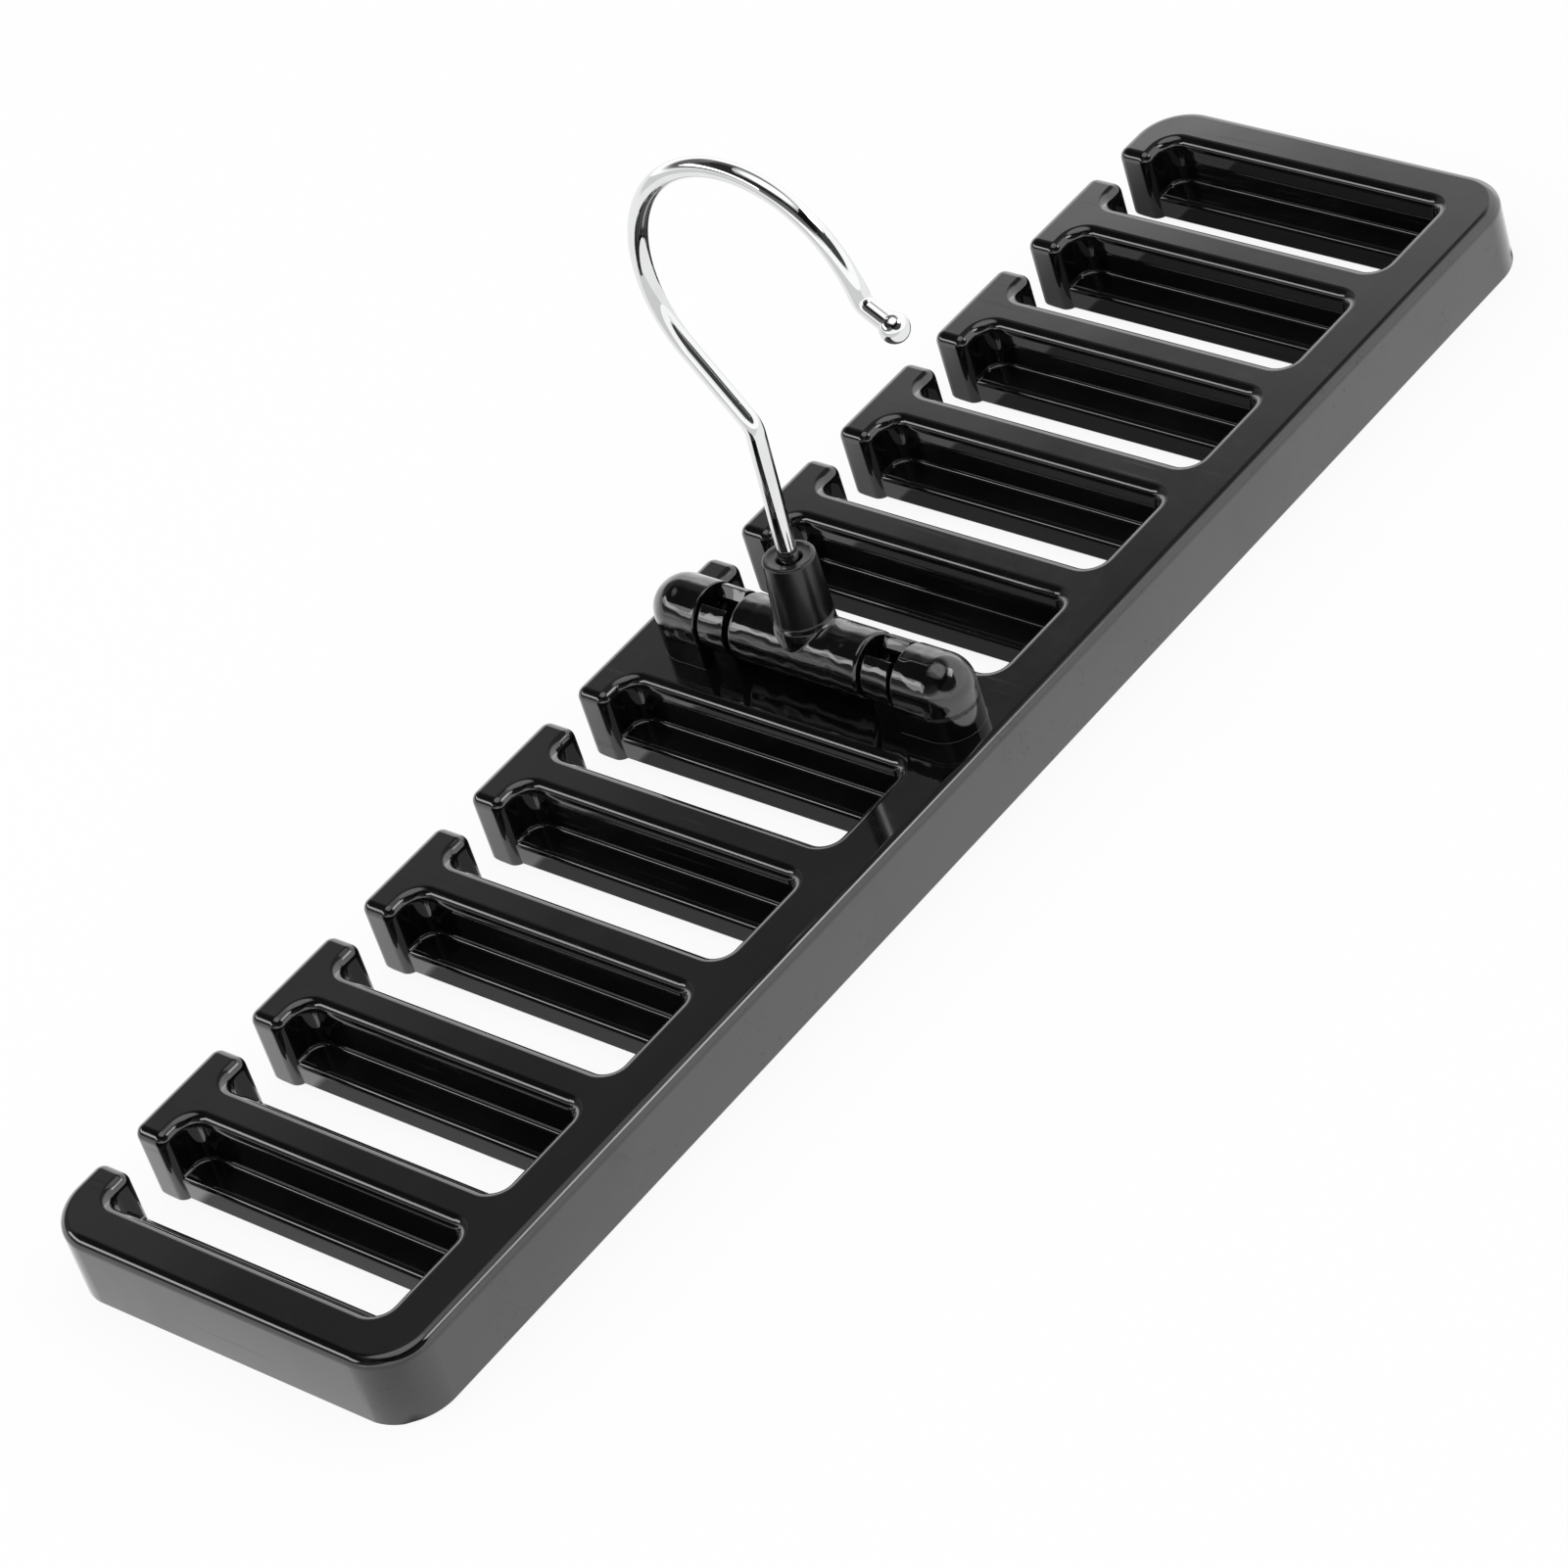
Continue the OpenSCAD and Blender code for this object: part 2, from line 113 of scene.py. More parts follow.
class TIEHANGER_PG_rack(PropertyGroup):
    """Sizes of the moulded rack"""

    length: size("Length", "Length of the rack", (FAR_HIGH.x - NEAR_LOW.x) / MM)
    depth: size("Depth", "Depth of the rack", (FAR_HIGH.y - FAR_LOW.y) / MM)
    height: size("Height", "Height of the rack", (FAR_HIGH.z - FAR_LOW.z) / MM)
    spine_w: size("Spine", "Width of the spine", 10.8)
    arm_w: size("End arms", "Width of each end arm", 9.5)
    finger_w: size("Fingers", "Width of a finger's stem", 8)
    middle_w: size("Middle finger", "Width of the middle finger", 25.5)
    head_lip: size("Head reach", "Reach of a head past its stem", 7)
    head_t: size("Head thickness", "Thickness of a head", 7.4)
    edge_r: size("Edges", "Rounding of the top edges", 2)
    tip_r: size("Tips", "Rounding of a head's tip seen from above", 2.06)
    corner_r: size("Corners", "Radius of the outer corners", 10)
    root_r: size("Hollow corners", "Radius of a slot's hollow corners", 3.2)
    foot_r: size("Foot edges", "Rounding of the lower edges", 0.3)
    ledge_w: size("Ledge width", "Width of the ledge beside a stem", 6)
    ledge_h: size("Ledge height", "Height of the ledge beside a stem", 4.9)
    ledge_r: size("Ledge edge", "Rounding of a ledge's upper edge", 1.1)
    crease_r: size("Crease", "Fillet between a ledge and its stem", 0.65)
    wall_t: size("Walls", "Walls round the hollow underside", 2.2)
    rib_t: size("Ribs", "Ribs across the hollow underside", 1.6)
    side_fingers: IntProperty(
        name="Fingers a side", description="Fingers on each side of the middle one",
        default=4, min=1, max=8,
    )


class TIEHANGER_PG_hinge(PropertyGroup):
    """Sizes of the hinge: posts, clips and yoke"""

    shift: size("Shift", "Offset of the hinge's middle towards the spine", 1.75)
    axis_z: size("Axis height", "Height of the hinge axis", 21.85)
    lean: turn("Lean", "Lean of the yoke and hook at rest", 3.4)
    barrel_r: size("Barrel radius", "Radius of the barrel and the posts", 6.05)
    barrel_l: size("Barrel length", "Length of the barrel", 28.8)
    barrel_edge: size("Barrel edge", "Rounding of the barrel's ends", 0.8)
    axle_r: size("Axle radius", "Radius of the axle stubs", 2.6)
    axle_flat: size("Axle flats", "Thickness of a stub across its flats", 2.4)
    axle_end: size("Axle end", "From the hinge's middle to a stub's end", 21.55)
    bore_r: size("Clip bore", "Radius of a clip's bore", 2.65)
    clip_r: size("Clip radius", "Outer radius of a clip", 5.9)
    clip_in: size("Clip start", "From the hinge's middle to a clip", 15.5)
    clip_l: size("Clip length", "Length of a clip", 5.6)
    snap_w: size("Snap slot", "Width of the slot in a clip's top", 2.6)
    snap_lip: size("Slot lips", "Lead-in of a clip's slot on each side", 1.5)
    web_w: size("Web width", "Width of the web under a clip", 9)
    post_in: size("Post start", "From the hinge's middle to a post", 22)
    post_l: size("Post length", "Length of a post before its dome", 6.4)
    post_foot: size("Post fillet", "Fillet at a post's foot", 0.05)
    boss_h: size("Boss height", "Height of the boss above the axis", 19.2)
    boss_top_r: size("Boss top", "Radius of the boss at its top", 4.7)
    boss_base_r: size("Boss base", "Radius of the boss at the axis", 5.6)
    rim_r: size("Rim", "Rounding of the boss's rim", 0.45)
    dish_r: size("Dish radius", "Radius of the dish in the boss's top", 3.85)
    dish_d: size("Dish depth", "Depth of the dish", 0.35)
    mouth_r: size("Bore mouth", "Radius of the bore's flared mouth", 2.3)
    mouth_d: size("Mouth depth", "Depth of the bore's flared mouth", 1.4)
    wire_bore: size("Wire bore", "Radius of the bore for the wire", 1.8)
    boss_foot: size("Boss fillet", "Fillet between the boss and the barrel", 0.9)
    pocket_r: size("Pocket", "Radius of the pocket round the wire's head", 3.1)
    seat_h: size("Seat", "Height of the seat above the axis", 2)


class TIEHANGER_PG_hook(PropertyGroup):
    """Sizes of the wire hook and its ball"""

    wire_r: size("Wire radius", "Radius of the wire", 1.75)
    foot: size("Foot", "Height of the wire's foot above the hinge axis", 1.9)
    shank: size("Shank", "Length of the straight shank", 42.4)
    shank_bend: size("Shank bend", "Bend radius at the shank's top", 5)
    shank_turn: turn("Shank turn", "Turn at the shank's top", 39.25)
    slant: size("Slant", "Length of the slanting run", 14.7)
    crook_r: size("Crook radius", "Bend radius of the crook", 24.4)
    crook_turn: turn("Crook turn", "Turn of the crook", -203.5)
    flare: size("Flare run", "Straight run before the tip flares out", 1)
    tip_bend: size("Tip bend", "Bend radius where the tip flares out", 3)
    tip_turn: turn("Tip turn", "Turn of the flared tip", 43.7)
    tip: size("Tip", "Length of the tip up to the ball's centre", 5.4)
    ball_r: size("Ball", "Radius of the ball", 2.6)
    ball_bore: size("Ball bore", "Radius of the ball's bore", 1.77)
    head_r: size("Head radius", "Radius of the upset head", 2.7)
    head_t: size("Head thickness", "Thickness of the upset head", 1.8)


class TIEHANGER_PG_finish(PropertyGroup):
    """Colours and gloss"""

    plastic: colour("Plastic", "Colour of the black moulding", (0.002, 0.002, 0.0022))
    dust: colour("Dust", "Colour of the fine dust on the moulding", (0.045, 0.044, 0.042))
    chrome: colour("Chrome", "Colour of the plated steel", (0.80, 0.805, 0.81))
    plastic_rough: share("Plastic roughness", "Roughness of the moulding", 0.05)
    chrome_rough: share("Chrome roughness", "Roughness of the plated steel", 0.035)
    floor: colour("Floor", "Colour of the floor", (0.86, 0.86, 0.86))


# Drawing with a compass and a ruler: chains and rings of edges, lathed, extruded or pulled on


def drawn(bm, start, *strokes):
    """Draws a chain of edges.

    A stroke is the next point, or an arc's centre, axis, angle and steps.
    """
    chain = [bm.verts.new(start)]
    for stroke in strokes:
        arc = len(stroke) == 4
        for _ in range(stroke[3] if arc else 1):
            made = bmesh.ops.extrude_vert_indiv(bm, verts=[chain[-1]])["verts"]
            if arc:
                centre, axis, angle, steps = stroke
                step = Matrix.Rotation(angle / steps, 3, axis)
                bmesh.ops.rotate(bm, verts=made, cent=centre, matrix=step)
            else:
                bmesh.ops.translate(bm, verts=made, vec=Vector(stroke) - chain[-1].co)
            chain.append(made[0])
    return chain


def edges_between(verts):
    """The edges with both ends among some vertices."""
    inside = set(verts)
    return list(dict.fromkeys(e for v in verts for e in v.link_edges if set(e.verts) <= inside))


def only_verts(geom):
    """The vertices in a list of geometry."""
    return [g for g in geom if isinstance(g, bmesh.types.BMVert)]


def lathe(bm, chain, axis, steps, centre=(0, 0, 0), half=False):
    """Spins a chain about an axis, all the way or half the way round."""
    bmesh.ops.spin(
        bm, geom=chain + edges_between(chain), cent=centre, axis=axis, dvec=(0, 0, 0),
        angle=math.pi if half else 2 * math.pi, steps=steps, use_merge=not half,
        use_duplicate=False, space=Matrix.Identity(4),
    )


def turned_piece(axis, steps, start, *strokes):
    """A closed shape turned on a lathe from a chain of strokes."""
    bm = bmesh.new()
    lathe(bm, drawn(bm, start, *strokes), axis, steps)
    return cleaned(bm)


def circle(bm, radius, steps, place):
    """Adds a circle, and gives its edges."""
    return edges_between(bmesh.ops.create_circle(
        bm, cap_ends=False, radius=radius, segments=steps, matrix=place
    )["verts"])


def extruded(bm, faces, vec):
    """Extrudes faces along a vector."""
    grown = bmesh.ops.extrude_face_region(bm, geom=faces)["geom"]
    bmesh.ops.translate(bm, verts=only_verts(grown), vec=vec)


def pulled(bm, ring):
    """Extrudes a ring of edges in place, and gives its new vertices and edges."""
    verts = only_verts(bmesh.ops.extrude_edge_only(bm, edges=ring)["geom"])
    return verts, edges_between(verts)


def pushed(bm, ring, vec):
    """Pulls a ring straight on, and gives the new ring."""
    verts, ring = pulled(bm, ring)
    bmesh.ops.translate(bm, verts=verts, vec=vec)
    return ring


def swung(bm, ring, centre, axis, angle, steps):
    """Pulls a ring on round a centre, and gives the new ring."""
    step = Matrix.Rotation(angle / steps, 3, axis)
    for _ in range(steps):
        verts, ring = pulled(bm, ring)
        bmesh.ops.rotate(bm, verts=verts, cent=centre, matrix=step)
    return ring


def filled(bm, edges):
    """Closes a ring of edges with a face."""
    bmesh.ops.contextual_create(bm, geom=edges)


def rounded(bm, geom, radius, segments, affect="EDGES"):
    """Rounds edges, or the corners of a flat face, with a circular profile."""
    bmesh.ops.bevel(
        bm, geom=geom, offset=radius, offset_type="OFFSET", segments=segments, profile=0.5,
        affect=affect, clamp_overlap=False, material=-1,
    )


def sharp_edges(bm, degrees):
    """The edges that turn by more than an angle."""
    return [e for e in bm.edges if e.calc_face_angle(0) > math.radians(degrees)]


def box(bm, across, along, up):
    """Adds a box between two places on each axis, and gives its vertices."""
    spans = (across, along, up)
    verts = bmesh.ops.create_cube(bm, size=1.0)["verts"]
    spread = Matrix.Diagonal((*(high - low for low, high in spans), 1))
    centre = Matrix.Translation([(low + high) / 2 for low, high in spans])
    bmesh.ops.transform(bm, matrix=centre @ spread, verts=verts)
    return verts


def cleaned(bm):
    """Merges doubles and turns every face outwards."""
    bmesh.ops.remove_doubles(bm, verts=bm.verts, dist=SAME)
    bmesh.ops.recalc_face_normals(bm, faces=bm.faces)
    return bm


def mesh_of(name, bm):
    """Makes a mesh, and frees what it was drawn in."""
    mesh = bpy.data.meshes.new(name)
    bm.to_mesh(mesh)
    bm.free()
    return mesh


def placed(name, data):
    """Makes an object in the scene."""
    made = bpy.data.objects.new(name, data)
    bpy.context.scene.collection.objects.link(made)
    return made


def absorb(bm, part):
    """Moves a finished part's faces into another mesh."""
    mesh = mesh_of("part", cleaned(part))
    bm.from_mesh(mesh)
    bpy.data.meshes.remove(mesh)


def cut(part, cutter):
    """One mesh less another."""
    objects = [placed("cut", mesh_of("cut", bm)) for bm in (part, cutter)]
    boolean = objects[0].modifiers.new("Cut", "BOOLEAN")
    boolean.operation = "DIFFERENCE"
    boolean.solver = "EXACT"
    boolean.object = objects[1]
    shaped = objects[0].evaluated_get(bpy.context.evaluated_depsgraph_get()).to_mesh()
    result = bmesh.new()
    result.from_mesh(shaped)
    for made in objects:
        mesh = made.data
        bpy.data.objects.remove(made)
        bpy.data.meshes.remove(mesh)
    return result


def finished(name, bm, material, body, replaces, place=Matrix.Identity(4)):
    """Makes a piece of a mesh, smooth up to its sharp edges, parents it to its body's empty and
    hides the parts it replaces.
    """
    bmesh.ops.transform(bm, matrix=place, verts=bm.verts)
    for face in bm.faces:
        face.smooth = True
    for edge in bm.edges:
        edge.smooth = len(edge.link_faces) == 2 and edge.calc_face_angle(0) < math.radians(32)
    piece = placed(name, mesh_of(name, bm))
    piece.data.materials.append(material)
    normals = piece.modifiers.new("Face normals", "WEIGHTED_NORMAL")
    normals.mode = "FACE_AREA"
    normals.keep_sharp = True
    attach(piece, body)
    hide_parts(*replaces)


def hinge_place(context):
    """Where the yoke's own coordinates stand: hinge axis at the origin, boss along Z."""
    hinge = context.scene.tie_hanger_hinge
    shift = Matrix.Translation((0, -hinge.shift, hinge.axis_z))
    return shift @ Matrix.Rotation(hinge.lean, 4, "Y")


# Node helpers


def feed(tree, made, sockets):
    """Sets or links a node's inputs, given by name or number."""
    for key, value in sockets.items():
        if isinstance(value, bpy.types.NodeSocket):
            tree.links.new(value, made.inputs[key])
        else:
            made.inputs[key].default_value = value


def node(tree, kind, sockets=None, **settings):
    """Adds a node with its settings and inputs."""
    made = tree.nodes.new(kind)
    for key, value in settings.items():
        setattr(made, key, value)
    feed(tree, made, sockets or {})
    return made


def calculated(tree, operation, *values, clamp=False):
    """What a Math operation makes of one value, or of several taken one after another."""
    if len(values) == 1:
        return node(tree, "ShaderNodeMath", {0: values[0]}, operation=operation).outputs[0]
    result = values[0]
    for value in values[1:]:
        step = node(
            tree, "ShaderNodeMath", {0: result, 1: value}, operation=operation, use_clamp=clamp
        )
        result = step.outputs[0]
    return result


def times(tree, *values):
    """The product of some values."""
    return calculated(tree, "MULTIPLY", *values)


def plus(tree, *values, clamp=False):
    """The sum of some values."""
    return calculated(tree, "ADD", *values, clamp=clamp)


def ranged(tree, value, low, high, to_low=0.0, to_high=1.0, kind="SMOOTHSTEP"):
    """A value carried from one range to another."""
    sockets = {
        "Value": value, "From Min": low, "From Max": high, "To Min": to_low, "To Max": to_high
    }
    return node(tree, "ShaderNodeMapRange", sockets, interpolation_type=kind).outputs[0]


def noise(tree, vector, scale, detail=2.0, roughness=0.5, distortion=0.0):
    """A noise value."""
    sockets = {
        "Vector": vector, "Scale": scale, "Detail": detail, "Roughness": roughness,
        "Distortion": distortion,
    }
    return node(tree, "ShaderNodeTexNoise", sockets).outputs[0]


def mapped(tree, vector, **change):
    """A vector moved, turned or scaled."""
    sockets = {"Vector": vector, **change}
    return node(tree, "ShaderNodeMapping", sockets).outputs[0]


def mixed(tree, mask, low, high):
    """A colour between two, by a mask."""
    ends = {
        key: value if isinstance(value, bpy.types.NodeSocket) else (*value, 1.0)
        for key, value in ((6, low), (7, high))
    }
    return node(tree, "ShaderNodeMix", {0: mask, **ends}, data_type="RGBA").outputs[2]


def chosen(tree, mask, low, high):
    """A value between two, by a mask."""
    sockets = {0: mask, 2: low, 3: high}
    return node(tree, "ShaderNodeMix", sockets, data_type="FLOAT").outputs[0]


def kinds_of_ray(tree):
    """Masks of the rays that the camera sends, and of those that reflections and glass send."""
    path = tree.nodes.new("ShaderNodeLightPath").outputs
    mirrored = calculated(tree, "MAXIMUM", path["Is Glossy Ray"], path["Is Transmission Ray"])
    return path["Is Camera Ray"], mirrored


# Shared effects


def group(name, inputs, outputs):
    """An empty shader group that takes a vector and named numbers, and gives named numbers."""
    tree = bpy.data.node_groups.new(name, "ShaderNodeTree")
    tree.interface.new_socket("Vector", in_out="INPUT", socket_type="NodeSocketVector")
    for label, value in inputs.items():
        socket = tree.interface.new_socket(label, in_out="INPUT", socket_type="NodeSocketFloat")
        socket.default_value = value
    for label in outputs:
        tree.interface.new_socket(label, in_out="OUTPUT", socket_type="NodeSocketFloat")
    return tree, tree.nodes.new("NodeGroupInput").outputs, tree.nodes.new("NodeGroupOutput")


def fine_scratches(name):
    """Fine straight scratches in two directions, as a mask."""
    tree, given, out = group(name, {"Scale": 300.0}, ["Scratch"])
    masks = []
    for turn_x, turn_z in ((0.3, 0.5), (1.1, -0.9)):
        along = mapped(
            tree, given["Vector"], Rotation=(turn_x, 0.0, turn_z), Scale=(1.0, 0.03, 1.0)
        )
        masks.append(ranged(tree, noise(tree, along, given["Scale"], detail=1.0), 0.66, 0.74))
    patch = ranged(tree, noise(tree, given["Vector"], 60.0), 0.42, 0.62)
    feed(tree, out, {"Scratch": times(tree, calculated(tree, "MAXIMUM", *masks), patch)})
    return tree


def moulding_skin(name):
    """The skin of a glossy moulding: slow waviness, fine orange peel and flow marks."""
    tree, given, out = group(name, {"Wave scale": 55.0, "Peel scale": 900.0}, ["Height", "Flow"])
    place = given["Vector"]
    wave = noise(tree, place, given["Wave scale"], detail=1.0)
    peel = noise(tree, place, given["Peel scale"], detail=1.5)
    flow = noise(
        tree, mapped(tree, place, Scale=(0.35, 1.0, 1.0)), 70.0, detail=4.0, distortion=0.6
    )
    height = plus(tree, wave, times(tree, peel, 0.025))
    feed(tree, out, {"Height": height, "Flow": ranged(tree, flow, 0.3, 0.7)})
    return tree


def handling(name):
    """Fine dust specks, faint smudges of handling and rubbed edges."""
    tree, given, out = group(name, {"Edge": 0.0}, ["Dust", "Smudge", "Wear"])
    place = given["Vector"]
    sockets = {"Vector": place, "Scale": 420.0, "Randomness": 1.0}
    specks = node(tree, "ShaderNodeTexVoronoi", sockets, feature="F1").outputs["Distance"]
    near = ranged(tree, specks, 0.02, 0.05, 1.0, 0.0)
    some = ranged(tree, noise(tree, place, 260.0), 0.58, 0.66)
    smudge = noise(tree, place, 38.0, detail=5.0, roughness=0.6, distortion=0.4)
    rub = ranged(tree, noise(tree, place, 420.0, detail=3.0), 0.4, 0.75)
    feed(tree, out, {
        "Dust": times(tree, near, some),
        "Smudge": ranged(tree, smudge, 0.46, 0.72),
        "Wear": times(tree, rub, given["Edge"]),
    })
    return tree


EFFECTS = {
    "Fine scratches": fine_scratches,
    "Moulding skin": moulding_skin,
    "Handling": handling,
}


def effect(tree, name, place, **values):
    """Places a shared effect in a material, and gives its outputs. Each is built once."""
    made = bpy.data.node_groups.get(name) or EFFECTS[name](name)
    return node(tree, "ShaderNodeGroup", {"Vector": place, **values}, node_tree=made).outputs


# Materials


def empty_material(name):
    """A material with its shader, and the place on the object that its patterns read."""
    material = bpy.data.materials.new(name)
    material.use_nodes = True
    tree = material.node_tree
    shader = next(n for n in tree.nodes if n.type == "BSDF_PRINCIPLED")
    place = tree.nodes.new("ShaderNodeTexCoord").outputs["Object"]
    return material, tree, shader, place


def bumped(tree, height, strength, distance):
    """The normal of a surface raised by a height."""
    sockets = {"Strength": strength, "Distance": distance, "Height": height}
    return node(tree, "ShaderNodeBump", sockets).outputs[0]


def black_plastic(finish, name, wave, seed_shift, round_from, satin_from):
    """Glossy black moulding with mould waviness, faint dust, smudges and rubbed edges.

    Its round parts, above the height round_from, have sunk unevenly while they cooled, and above
    the height satin_from it is satin.
    """
    material, tree, shader, place = empty_material(name)
    height = node(tree, "ShaderNodeSeparateXYZ", {0: place}).outputs["Z"]
    satin = ranged(tree, height, satin_from, satin_from + 1.5 * MM)
    risen = ranged(tree, height, round_from, round_from + 1 * MM)
    round_part = calculated(tree, "SUBTRACT", risen, satin, clamp=True)
    place = mapped(tree, place, Location=seed_shift)
    ripple = times(tree, noise(tree, place, 160.0, detail=1.0), round_part)
    skin = effect(tree, "Moulding skin", place, **{"Wave scale": wave})
    scratch = effect(tree, "Fine scratches", place, Scale=900.0)["Scratch"]
    edge = node(tree, "ShaderNodeAttribute", attribute_name="edge").outputs["Fac"]
    touch = effect(tree, "Handling", place, Edge=edge)
    lifted = [1.7 * c for c in finish.plastic]
    tone = mixed(tree, ranged(tree, skin["Flow"], 0.0, 1.0), finish.plastic, lifted)
    smudged = times(tree, touch["Smudge"], 0.07)
    rough = finish.plastic_rough
    varied = ranged(tree, skin["Flow"], 0.0, 1.0, rough * 0.85, rough * 1.2, kind="LINEAR")
    dulled = plus(tree, times(tree, touch["Wear"], 0.12), times(tree, satin, 0.2))
    uncoated = plus(
        tree, times(tree, smudged, 2.0), times(tree, scratch, 0.3), times(tree, satin, 0.75)
    )
    relief = plus(
        tree, times(tree, skin["Height"], 0.05), times(tree, scratch, -0.0003),
        times(tree, ripple, 1.1),
    )
    feed(tree, shader, {
        "Base Color": mixed(tree, times(tree, touch["Dust"], 0.5), tone, finish.dust),
        "Roughness": plus(tree, varied, dulled, smudged, times(tree, scratch, 0.12), clamp=True),
        "IOR": 1.59,
        "Coat Weight": calculated(tree, "SUBTRACT", 0.9, uncoated, clamp=True),
        "Coat Roughness": 0.035,
        "Coat IOR": 1.5,
        "Normal": bumped(tree, relief, 1.0, 1 * MM),
    })
    return material


def chrome_plate(finish, name):
    """Bright chrome plate with a fine drawing texture and micro-scratches."""
    material, tree, shader, place = empty_material(name)
    scratch = effect(tree, "Fine scratches", place, Scale=1500.0)["Scratch"]
    touch = effect(tree, "Handling", place)
    scales = {"Wave scale": 260.0, "Peel scale": 2600.0}
    skin = effect(tree, "Moulding skin", place, **scales)
    dulled = [0.9 * c for c in finish.chrome]
    rough = finish.chrome_rough
    smudged = ranged(tree, touch["Smudge"], 0.0, 1.0, rough * 0.8, rough * 1.5)
    relief = plus(tree, skin["Height"], times(tree, scratch, -0.2))
    feed(tree, shader, {
        "Base Color": mixed(tree, touch["Smudge"], finish.chrome, dulled),
        "Metallic": 1.0,
        "Roughness": plus(tree, smudged, times(tree, scratch, 0.18), clamp=True),
        "Normal": bumped(tree, relief, 0.08, 0.05 * MM),
    })
    return material


# The rack


def slot_places(rack):
    """The two walls of every slot, from the near end to the far end."""
    count = 2 * rack.side_fingers + 2
    stems = 2 * rack.arm_w + rack.middle_w + 2 * rack.side_fingers * rack.finger_w
    width = (rack.length - stems) / count
    walls = []
    x = rack.arm_w - rack.length / 2
    for i in range(count):
        walls.append((x, x + width))
        x += width + (rack.middle_w if i == rack.side_fingers else rack.finger_w)
    return walls


def slot_ends(rack):
    """Where a slot ends at the spine, and where its heads begin."""
    return rack.spine_w - rack.depth / 2, rack.depth / 2 - rack.head_t


def plan_face(bm, rack, walls):
    """The rack's outline seen from above, with its corners rounded."""
    half_l, half_w = rack.length / 2, rack.depth / 2
    spine_y, head_y = slot_ends(rack)
    outer, tips, roots, loop = [], [], [], []

    def corner(x, y, kind):
        vert = bm.verts.new((x, y, 0))
        loop.append(vert)
        kind.append(vert)

    for x, y in ((-1, 1), (-1, -1), (1, -1), (1, 1)):
        corner(x * half_l, y * half_w, outer)
    half_slot = (
        (rack.head_lip, half_w, tips), (rack.head_lip, head_y, tips),
        (0, head_y, roots), (0, spine_y, roots),
    )
    for left, right in reversed(walls):
        for out, y, kind in half_slot:
            corner(right - out, y, kind)
        for out, y, kind in reversed(half_slot):
            corner(left + out, y, kind)
    bm.faces.new(loop)
    rounded(bm, outer, rack.corner_r, 20, "VERTICES")
    rounded(bm, tips, rack.tip_r, 8, "VERTICES")
    rounded(bm, roots, rack.root_r, 10, "VERTICES")


def stretches(start, end, ribs, rib_t):
    """What ribs leave open between two places."""
    open_runs = []
    for rib in ribs:
        open_runs.append((start, rib - rib_t / 2))
        start = rib + rib_t / 2
    return open_runs + [(start, end)]


def hollow(bm, across, along, top):
    """Adds the space of one hollow, open below, with softened edges."""
    rounded(bm, edges_between(box(bm, across, along, (-PAST, top))), SOFT, 2)


def underside(rack, hinge, walls):
    """The hollows of the underside: along the stems, under the ledges, then under the heads."""
    deep, shallow = rack.height - rack.wall_t, rack.ledge_h - rack.wall_t
    wall, half_l, half_w = rack.wall_t, rack.length / 2, rack.depth / 2
    spine_y, head_y = slot_ends(rack)
    clip_y = hinge.clip_in + hinge.clip_l / 2
    along_stems, under_ledges, under_heads = bmesh.new(), bmesh.new(), bmesh.new()
    centres = []
    for i in range(len(walls) - 1):
        left, right = walls[i][1], walls[i + 1][0]
        middle = i == rack.side_fingers
        centres.append((left + right) / 2)
        ribs_x = [0.0] if middle else []
        ribs_y = [-hinge.shift - clip_y, clip_y - hinge.shift] if middle else []
        for bm, reach, along, ribs, top in (
            (along_stems, -wall, (spine_y, half_w - wall), ribs_y, deep),
            (under_ledges, rack.ledge_w - wall, (spine_y, head_y), ribs_y, shallow),
            (under_heads, rack.head_lip - wall, (head_y + wall, half_w - wall), [], deep),
        ):
            for across in stretches(left - reach, right + reach, ribs_x, rack.rib_t):
                for run in stretches(*along, ribs, rack.rib_t):
                    hollow(bm, across, run, top)
    end = half_l - rack.arm_w - rack.root_r
    for across in stretches(-end + rack.rib_t / 2, end - rack.rib_t / 2, centres, rack.rib_t):
        hollow(under_heads, across, (wall - half_w, spine_y - wall), deep)
    long_run = half_w - rack.corner_r
    for side in (-1, 1):
        inner = half_l - rack.arm_w
        across = sorted((side * (half_l - wall), side * (inner + wall)))
        hollow(along_stems, across, (-long_run, long_run), deep)
        across = sorted((side * (half_l - wall), side * (inner - rack.ledge_w + wall)))
        hollow(under_ledges, across, (spine_y, head_y), shallow)
    return along_stems, under_ledges, under_heads


def rack_body(rack, hinge, walls):
    """The comb itself, with rounded top edges and a hollow underside."""
    bm = bmesh.new()
    plan_face(bm, rack, walls)
    extruded(bm, list(bm.faces), (0, 0, rack.height))
    top = [e for e in bm.edges if all(v.co.z > rack.height / 2 for v in e.verts)]
    rounded(bm, top, rack.edge_r, 8)
    edge = bm.verts.layers.float.new("edge")
    worn, spread = 0.3 * rack.edge_r, 0.4 * rack.edge_r
    for vert in bm.verts:
        vert[edge] = max(0.0, 1.0 - abs(rack.height - vert.co.z - worn) / spread)
    outside_y = rack.depth / 2 - rack.head_t / 2
    feet = [
        e for e in bm.edges
        if all(v.co.z < SAME for v in e.verts)
        and (all(v.co.y > outside_y or v.co.y < -outside_y for v in e.verts)
             or all(abs(v.co.x) > rack.length / 2 - SAME for v in e.verts))
    ]
    rounded(bm, feet, rack.foot_r, 2)
    cleaned(bm)
    for space in underside(rack, hinge, walls):
        bm = cut(bm, cleaned(space))
    return bm


